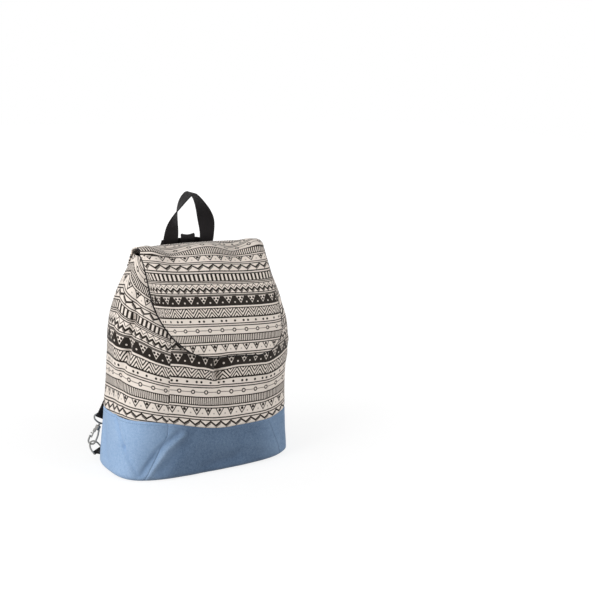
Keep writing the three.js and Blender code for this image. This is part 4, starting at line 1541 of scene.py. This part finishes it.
def tab_mesh(length):
    """Webbing folded round a ring's bar, reaching along -Y."""
    w = webbing()
    width, thick = w.tab_width / MM, w.strap_thick / MM
    ends = spaced(np.array([(0, -1.0 - length, 0), (0, -1.0, 0)]), 12)
    plate = sweep_mesh("plate", ends, (1, 0, 0), flat_profile(width, thick))
    axis = np.array([1.0, 0, 0])
    loop = sleeve(np.zeros(3), axis, width, w.sleeve / MM)
    return fuse([plate, loop], [sleeve(np.zeros(3), axis, width + BORE_SPARE / MM, w.sleeve_bore / MM)])


class BACKPACK_OT_tabs(Operator):
    """Folds the four webbing tabs round their D-rings"""

    bl_idname = "backpack.tabs"
    bl_label = "Tabs and D-Rings"

    def execute(self, context):
        m = metal()
        corner = Corner()
        ring = ring_mesh()
        lower_tab = tab_mesh(m.lower_reach / MM + 0.5)
        upper_tab = tab_mesh(24.0)
        upper_at = np.array([-m.upper_x, section(np.array(m.upper_z + 0.020))[2], m.upper_z])
        down = (0, 0, -1)
        places = (
            ("lower", lower_tab, corner.pivot, corner.along, LOWER_TAB_OUT, corner.ring_out),
            ("upper", upper_tab, upper_at, (0, 1, 0), down, down),
        )
        for level, tab, at, along, tab_out, ring_out in places:
            for side in SIDES:
                name = f"{level}_tab_{side}"
                place = basis(at, along, tab_out)
                hardware(f"{name}_webbing", tab, place, side, "bag", WEBBING, black(), name)
                name = f"{level}_ring_{side}"
                place = basis(at, along, ring_out)
                hardware(f"{name}_wire", ring, place, side, name, NICKEL, plated(), name)
        return {"FINISHED"}


GATE_PIVOT = (3.4, -7.0)


def eye_mesh():
    """Swivel eye: a loop for the strap on a post riveted into the hook's collar."""
    bar = metal().eye_bar / MM
    loop = wire_loop(9.9, [(7.5, 10.9), (13.5, 13.7), (15.8, 17.4), (15.3, 20.6), (13.1, bar)], bar)
    neck = turned([(0, 7.6), (2.3, 8.0), (2.6, 9.0), (2.2, 10.2), (0, 10.6)])
    return fuse([loop, moved(rod(1.8, 8.6), y=5.6), neck, moved(rod(3.0, 2.0), y=2.0)])


def hook_mesh():
    """Hook body: hollow collar, J of round wire with a rounded tip, two cheeks and the gate's pin."""
    groove = [(4.9, 1.0), (4.6, 1.5), (4.9, 2.0)]
    collar = turned([(0, -3.7), (4.4, -3.7), (4.9, -3.2), *groove, (4.9, 4.2), (4.2, 5.0), (0, 5.0)])
    bore = turned([(0, -2.6), (3.4, -2.6), (3.4, 3.4), (2.3, 3.4), (2.3, 6.0), (0, 6.0)])
    sweep = np.linspace(np.pi, 2 * np.pi, 7)
    bend = [(6.5 * np.cos(t), -24 + 6.5 * np.sin(t), 0) for t in sweep]
    line = [(-4.2, -2.2, 0), (-4.9, -6, 0), (-6.4, -13, 0), *bend, (6.5, -16.5, 0)]
    shank = sweep_mesh("shank", smooth_path(line, 70), (0, 0, 1), round_profile(1.6, 16))
    tip = turned([(0, -2.0), (1.9, -1.4), (2.0, 0), (1.6, 1.2), (0, 1.7)])
    x, y = GATE_PIVOT
    cheeks = [moved(block(4, 6.4, 1.2, 0.3), x, -5.8, z) for z in (2.3, -2.3)]
    pin = moved(rod(0.8, 6.0, 0.2), x, y, 0, turn=(90, "X"))
    return fuse([collar, shank, moved(tip, 6.5, -17.6, 0), *cheeks, pin], [bore])


def gate_mesh():
    """Sprung gate with a thumb knob, bored for its pin."""
    boss = moved(rod(2.1, 2.6), turn=(90, "X"))
    bar = moved(block(2.2, 12.6, 2.4, 0.5), y=-6.3)
    knob = turned([(0, -1.7), (1.0, -1.7), (1.0, 0.9), (1.5, 1.3), (1.3, 1.9), (0, 2.0)])
    knob = moved(knob, x=2.6, y=-5, turn=(-90, "Z"))
    mesh = fuse([boss, bar, knob], [moved(rod(1.15, 6.0, 0.1), turn=(90, "X"))])
    return moved(mesh, *GATE_PIVOT)


class BACKPACK_OT_hooks(Operator):
    """Makes the two swivel snap hooks at the strap's ends"""

    bl_idname = "backpack.hooks"
    bl_label = "Snap Hooks"

    def execute(self, context):
        c = Corner()
        bow = unit(c.along - (c.along @ c.pull) * c.pull)
        across_hook = np.cross(c.pull, bow)
        shapes = (
            ("swivel_eye", eye_mesh(), c.across, "bag"),
            ("hook_body", hook_mesh(), across_hook, "hook_{}"),
            ("hook_gate", gate_mesh(), across_hook, "gate_{}"),
        )
        for node, mesh, x_axis, rides in shapes:
            for side in SIDES:
                name = f"{node}_{side}"
                matrix = basis(c.hook, x_axis, c.pull)
                hardware(f"{name}_metal", mesh, matrix, side, rides.format(side), NICKEL, plated(), name)
        return {"FINISHED"}


def slider_mesh():
    """Slider: two bars over the webbing and one behind it, between a pair of cheeks."""
    outline = [(-10.5, 2.2), (10.5, 2.2), (10.5, 4.0), (9.5, 5.2), (-9.5, 5.2), (-10.5, 4.0)]
    hub = [(-9, 2.4), (9, 2.4), (1.6, -5.2), (-1.6, -5.2)]
    parts = []
    for x in (-14.5, 14.5):
        for shape in (outline, hub):
            parts.append(plate(shape, x, 2.6))
    bars = ((-8.8, 3.7), (8.8, 3.7), (0.0, -3.7))
    parts += [moved(rod(metal().wire / MM, 31.0), 0, y, z, turn=(90, "Z")) for y, z in bars]
    return fuse(parts)


def plate(outline, x, thick):
    """A plate of the given (y, z) outline across local X, with eased edges."""
    work = bmesh.new()
    face = work.faces.new([work.verts.new((x - thick / 2, y, z)) for y, z in outline])
    push = bmesh.ops.extrude_face_region(work, geom=[face])
    ahead = [v for v in push["geom"] if isinstance(v, bmesh.types.BMVert)]
    bmesh.ops.translate(work, verts=ahead, vec=(thick, 0, 0))
    bmesh.ops.recalc_face_normals(work, faces=work.faces)
    bmesh.ops.bevel(work, geom=work.edges[:], offset=0.35, segments=2, affect="EDGES", profile=0.5)
    mesh = bpy.data.meshes.new("plate")
    work.to_mesh(mesh)
    work.free()
    return outward(mesh)


class BACKPACK_OT_slider(Operator):
    """Makes the strap slider and finishes the hidden snap"""

    bl_idname = "backpack.slider"
    bl_label = "Slider and Snap"

    def execute(self, context):
        c = Corner()
        at = (c.foot + metal().slider_start * c.pull) * MIRROR
        up = c.pull * MIRROR
        matrix = basis(at, np.cross(up, c.normal * MIRROR), up)
        hardware("slider_metal", slider_mesh(), matrix, "left", "slider", NICKEL, plated(), "strap_slider")
        for node in ("snap_socket", "snap_stud"):
            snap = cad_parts[node]
            snap.data.materials.clear()
            snap.data.materials.append(plated()[0])
        return {"FINISHED"}


# Stitching

# How far stitches lie above the cloth, and the base seam's row below the seam
STITCH_LIFT, SEAM_ROW = 0.0001, 0.0042


class StitchTree:
    """Geometry nodes that sew stitches along every edge path of a mesh."""

    INPUTS = (
        ("Pitch", "NodeSocketFloat"),
        ("Size", "NodeSocketVector"),
        ("Thread", "NodeSocketMaterial"),
    )

    def __init__(self):
        self.tree = bpy.data.node_groups.new("stitch_row", "GeometryNodeTree")
        side = self.tree.interface
        side.new_socket("Geometry", in_out="INPUT", socket_type="NodeSocketGeometry")
        for name, kind in self.INPUTS:
            side.new_socket(name, in_out="INPUT", socket_type=kind)
        side.new_socket("Geometry", in_out="OUTPUT", socket_type="NodeSocketGeometry")
        given = self.tree.nodes.new("NodeGroupInput").outputs
        line = self.add("GeometryNodeMeshToCurve", {"Mesh": given["Geometry"]})
        paced = {"Curve": line[0], "Length": given["Pitch"]}
        even = self.add("GeometryNodeResampleCurve", paced, mode="LENGTH")
        ahead = self.add("GeometryNodeInputTangent", {})
        turn = self.add("FunctionNodeAlignRotationToVector", {"Vector": ahead[0]}, axis="Z")
        bead = self.add("GeometryNodeMeshUVSphere", {"Segments": 6, "Rings": 5, "Radius": 0.5})
        soft = self.add("GeometryNodeSetShadeSmooth", {"Geometry": bead[0]})
        sown = self.add(
            "GeometryNodeInstanceOnPoints",
            {"Points": even[0], "Instance": soft[0], "Rotation": turn[0], "Scale": given["Size"]},
        )
        real = self.add("GeometryNodeRealizeInstances", {"Geometry": sown[0]})
        done = self.add("GeometryNodeSetMaterial", {"Geometry": real[0], "Material": given["Thread"]})
        self.add("NodeGroupOutput", {"Geometry": done[0]})

    def add(self, kind, inputs, **settings):
        node = self.tree.nodes.new(kind)
        for key, value in settings.items():
            setattr(node, key, value)
        for key, value in inputs.items():
            if isinstance(value, bpy.types.NodeSocket):
                self.tree.links.new(value, node.inputs[key])
            else:
                node.inputs[key].default_value = value
        return node.outputs

    def sew(self, name, rows, pitch, length, width, thread):
        """Stitches along rows of points, as a plain mesh."""
        mesh = bpy.data.meshes.new(name)
        points = np.concatenate(rows)
        starts = np.cumsum([0] + [len(row) for row in rows])
        edges = [(i, i + 1) for a, b in zip(starts, starts[1:]) for i in range(a, b - 1)]
        mesh.from_pydata(points.tolist(), edges, [])
        obj = new_object(name, mesh)
        nodes = obj.modifiers.new("stitches", "NODES")
        nodes.node_group = self.tree
        values = {"Pitch": pitch, "Size": (width, width, length), "Thread": thread}
        for item in self.tree.interface.items_tree:
            if item.in_out == "INPUT" and item.name in values:
                nodes[item.identifier] = values[item.name]
        return baked(obj)


class BACKPACK_OT_stitching(Operator):
    """Sews the visible stitch rows of the base seam, the flap and the webbing"""

    bl_idname = "backpack.stitching"
    bl_label = "Stitching"

    def execute(self, context):
        stitches = StitchTree()
        rows = (
            ("base_seam", self.base_rows(), 0.0036, 0.0028, 0.0007, "blue_thread", DENIM),
            ("flap", self.flap_rows(), 0.0036, 0.0028, 0.0006, "pale_thread", PRINTED),
            ("webbing", self.webbing_rows(), 0.0030, 0.0024, 0.0007, "dark_thread", WEBBING),
        )
        for place, lines, pitch, length, width, thread, slot in rows:
            name = f"{place}_stitches"
            finish = sewing_thread(thread)
            mesh = stitches.sew(name, lines, pitch, length, width, finish)
            piece(name, mesh, [finish], "bag", slot)
        return {"FINISHED"}

    def base_rows(self):
        rows = []
        for wall in WALLS:
            points, out, v = made[f"{wall}_denim"]
            row = np.argmin(np.abs(v[0, -1] - v[0] - SEAM_ROW))
            rows.append(points[:, row] + STITCH_LIFT * out[:, row])
        return rows

    def flap_rows(self):
        points, out = made["flap"]
        inset, last = 3, points.shape[1] - 4
        at = [(inset, j) for j in range(EDGE_FIRST, last)]
        at += [(i, last) for i in range(inset, FLAP_COLUMNS - inset)]
        at += [(FLAP_COLUMNS - 1 - inset, j) for j in range(last - 1, EDGE_FIRST, -1)]
        return [np.array([points[k] + STITCH_LIFT * out[k] for k in at])]

    def webbing_rows(self):
        w = webbing()
        rows = []
        band, out = made["band"]
        for column in (3, 26, 63, 86):
            rows.append(band[column, 1:-1] + STITCH_LIFT * out)
        path, side = made["strap"]
        up = unit(np.cross(np.gradient(path, axis=0), side))
        for i in (5, 10, len(path) - 6, len(path) - 11):
            across = np.linspace(-0.42, 0.42, 12)[:, None] * w.strap_width * side[i]
            face = 1 if up[i, 1] > 0 else -1
            rows.append(path[i] + across + face * (w.strap_thick / 2 + STITCH_LIFT) * up[i])
        return rows


# Stage

CAMERA_AT = (-1.05089, -1.74897, 0.76545)
CAMERA_FORWARD = (0.57021, 0.79085, -0.22229)
CAMERA_RIGHT = (0.81668, -0.57497, 0.04933)
SENSOR = 36.0

# Soft round lamps: place, width and the stage value that holds the power
LAMPS = {
    "key_light": ((-2.3, -0.4, 0.85), 1.7, "key_power"),
    "fill_light": ((1.6, -1.95, 0.7), 1.8, "fill_power"),
}
LAMP_AIM = Vector((0, 0, 0.2))
WHITE = (1, 1, 1)
FLOOR_GLOW = 1.14


class BACKPACK_OT_stage(Operator):
    """Sets the pale floor, the soft light and the camera"""

    bl_idname = "backpack.stage"
    bl_label = "Stage"

    def execute(self, context):
        s = context.scene.backpack_stage
        self.camera(context.scene, s)
        self.floor(s)
        self.light(context.scene, s)
        context.scene.view_settings.view_transform = "Standard"
        return {"FINISHED"}

    def camera(self, scene, s):
        data = bpy.data.cameras.new("camera")
        data.lens = s.lens
        data.sensor_width = SENSOR
        camera = new_object("camera", data)
        ahead = Vector(CAMERA_FORWARD).normalized()
        right = Vector(CAMERA_RIGHT)
        right = (right - right.dot(ahead) * ahead).normalized()
        turn = Matrix((right, right.cross(ahead), -ahead)).transposed()
        camera.matrix_world = Matrix.Translation(CAMERA_AT) @ turn.to_4x4()
        scene.camera = camera

    def floor(self, s):
        """Floor that keeps the object's shadow and fades to white away from it."""
        corners = [(x * s.floor, y * s.floor, 0) for x, y in ((-1, -1), (1, -1), (1, 1), (-1, 1))]
        floor = new_object("floor", new_mesh("floor", corners, [(0, 1, 2, 3)]))
        finish = Finish("studio_floor")
        seen = finish.seen()
        tone = finish.blend(seen, colours().floor, colours().floor_seen)
        finish.set(Base_Color=tone, Roughness=0.9)
        away = finish.node("ShaderNodeVectorMath", {"operation": "LENGTH"}, {0: finish.place()}, output=1)
        share = seen * away.scaled(0.9, -0.2, clamp=True).scaled(0.3, 0.7)
        white = finish.node("ShaderNodeEmission", None, {"Color": WHITE, "Strength": FLOOR_GLOW})
        lit = Signal(finish, finish.shader.outputs[0])
        mixed = finish.node("ShaderNodeMixShader", None, {0: share, 1: lit, 2: white})
        finish.tree.links.new(mixed.socket, finish.tree.nodes["Material Output"].inputs[0])
        floor.data.materials.append(finish.material)

    def light(self, scene, s):
        for name, (place, width, strength) in LAMPS.items():
            data = bpy.data.lights.new(name, "AREA")
            data.shape = "DISK"
            data.size = width
            data.energy = getattr(s, strength)
            lamp = new_object(name, data)
            lamp.location = place
            lamp.visible_glossy = False
            lamp.rotation_euler = (LAMP_AIM - Vector(place)).to_track_quat("-Z", "Y").to_euler()
        scene.world = bpy.data.worlds.new("studio")
        self.sky(Shading(scene.world), s.ambient)

    def sky(self, world, ambient):
        """Even light all round that looks white to the camera."""
        nodes = world.tree.nodes
        even = nodes["Background"]
        world.feed(even.inputs["Color"], WHITE)
        world.feed(even.inputs["Strength"], ambient)
        lit = Signal(world, even.outputs[0])
        white = world.node("ShaderNodeBackground", None, {"Color": WHITE})
        swap = world.node("ShaderNodeMixShader", None, {0: world.seen(), 1: lit, 2: white})
        world.tree.links.new(swap.socket, nodes["World Output"].inputs[0])


OPERATORS = (
    BACKPACK_OT_stage,
    BACKPACK_OT_printed_panels,
    BACKPACK_OT_denim_base,
    BACKPACK_OT_mouth_tape,
    BACKPACK_OT_flap,
    BACKPACK_OT_handle,
    BACKPACK_OT_strap,
    BACKPACK_OT_tabs,
    BACKPACK_OT_hooks,
    BACKPACK_OT_slider,
    BACKPACK_OT_stitching,
)


class BACKPACK_PT_pieces(Panel):
    """Lists the backpack's pieces and sizes"""

    bl_idname = "BACKPACK_PT_pieces"
    bl_label = "Backpack"
    bl_space_type = "VIEW_3D"
    bl_region_type = "UI"
    bl_category = "Backpack"

    def draw(self, context):
        for operator in OPERATORS:
            self.layout.operator(operator.bl_idname)
        for name, group in GROUPS.items():
            box = self.layout.box()
            box.label(text=group.__doc__)
            for key in group.__annotations__:
                box.prop(getattr(context.scene, name), key)


CLASSES = (*GROUPS.values(), *OPERATORS, BACKPACK_PT_pieces)


def register():
    for cls in CLASSES:
        bpy.utils.register_class(cls)
    for name, group in GROUPS.items():
        setattr(bpy.types.Scene, name, PointerProperty(type=group))


def unregister():
    for name in GROUPS:
        delattr(bpy.types.Scene, name)
    for cls in reversed(CLASSES):
        bpy.utils.unregister_class(cls)


def main():
    register()
    for operator in OPERATORS:
        area, name = operator.bl_idname.split(".")
        getattr(getattr(bpy.ops, area), name)()


if __name__ == "__main__":
    main()
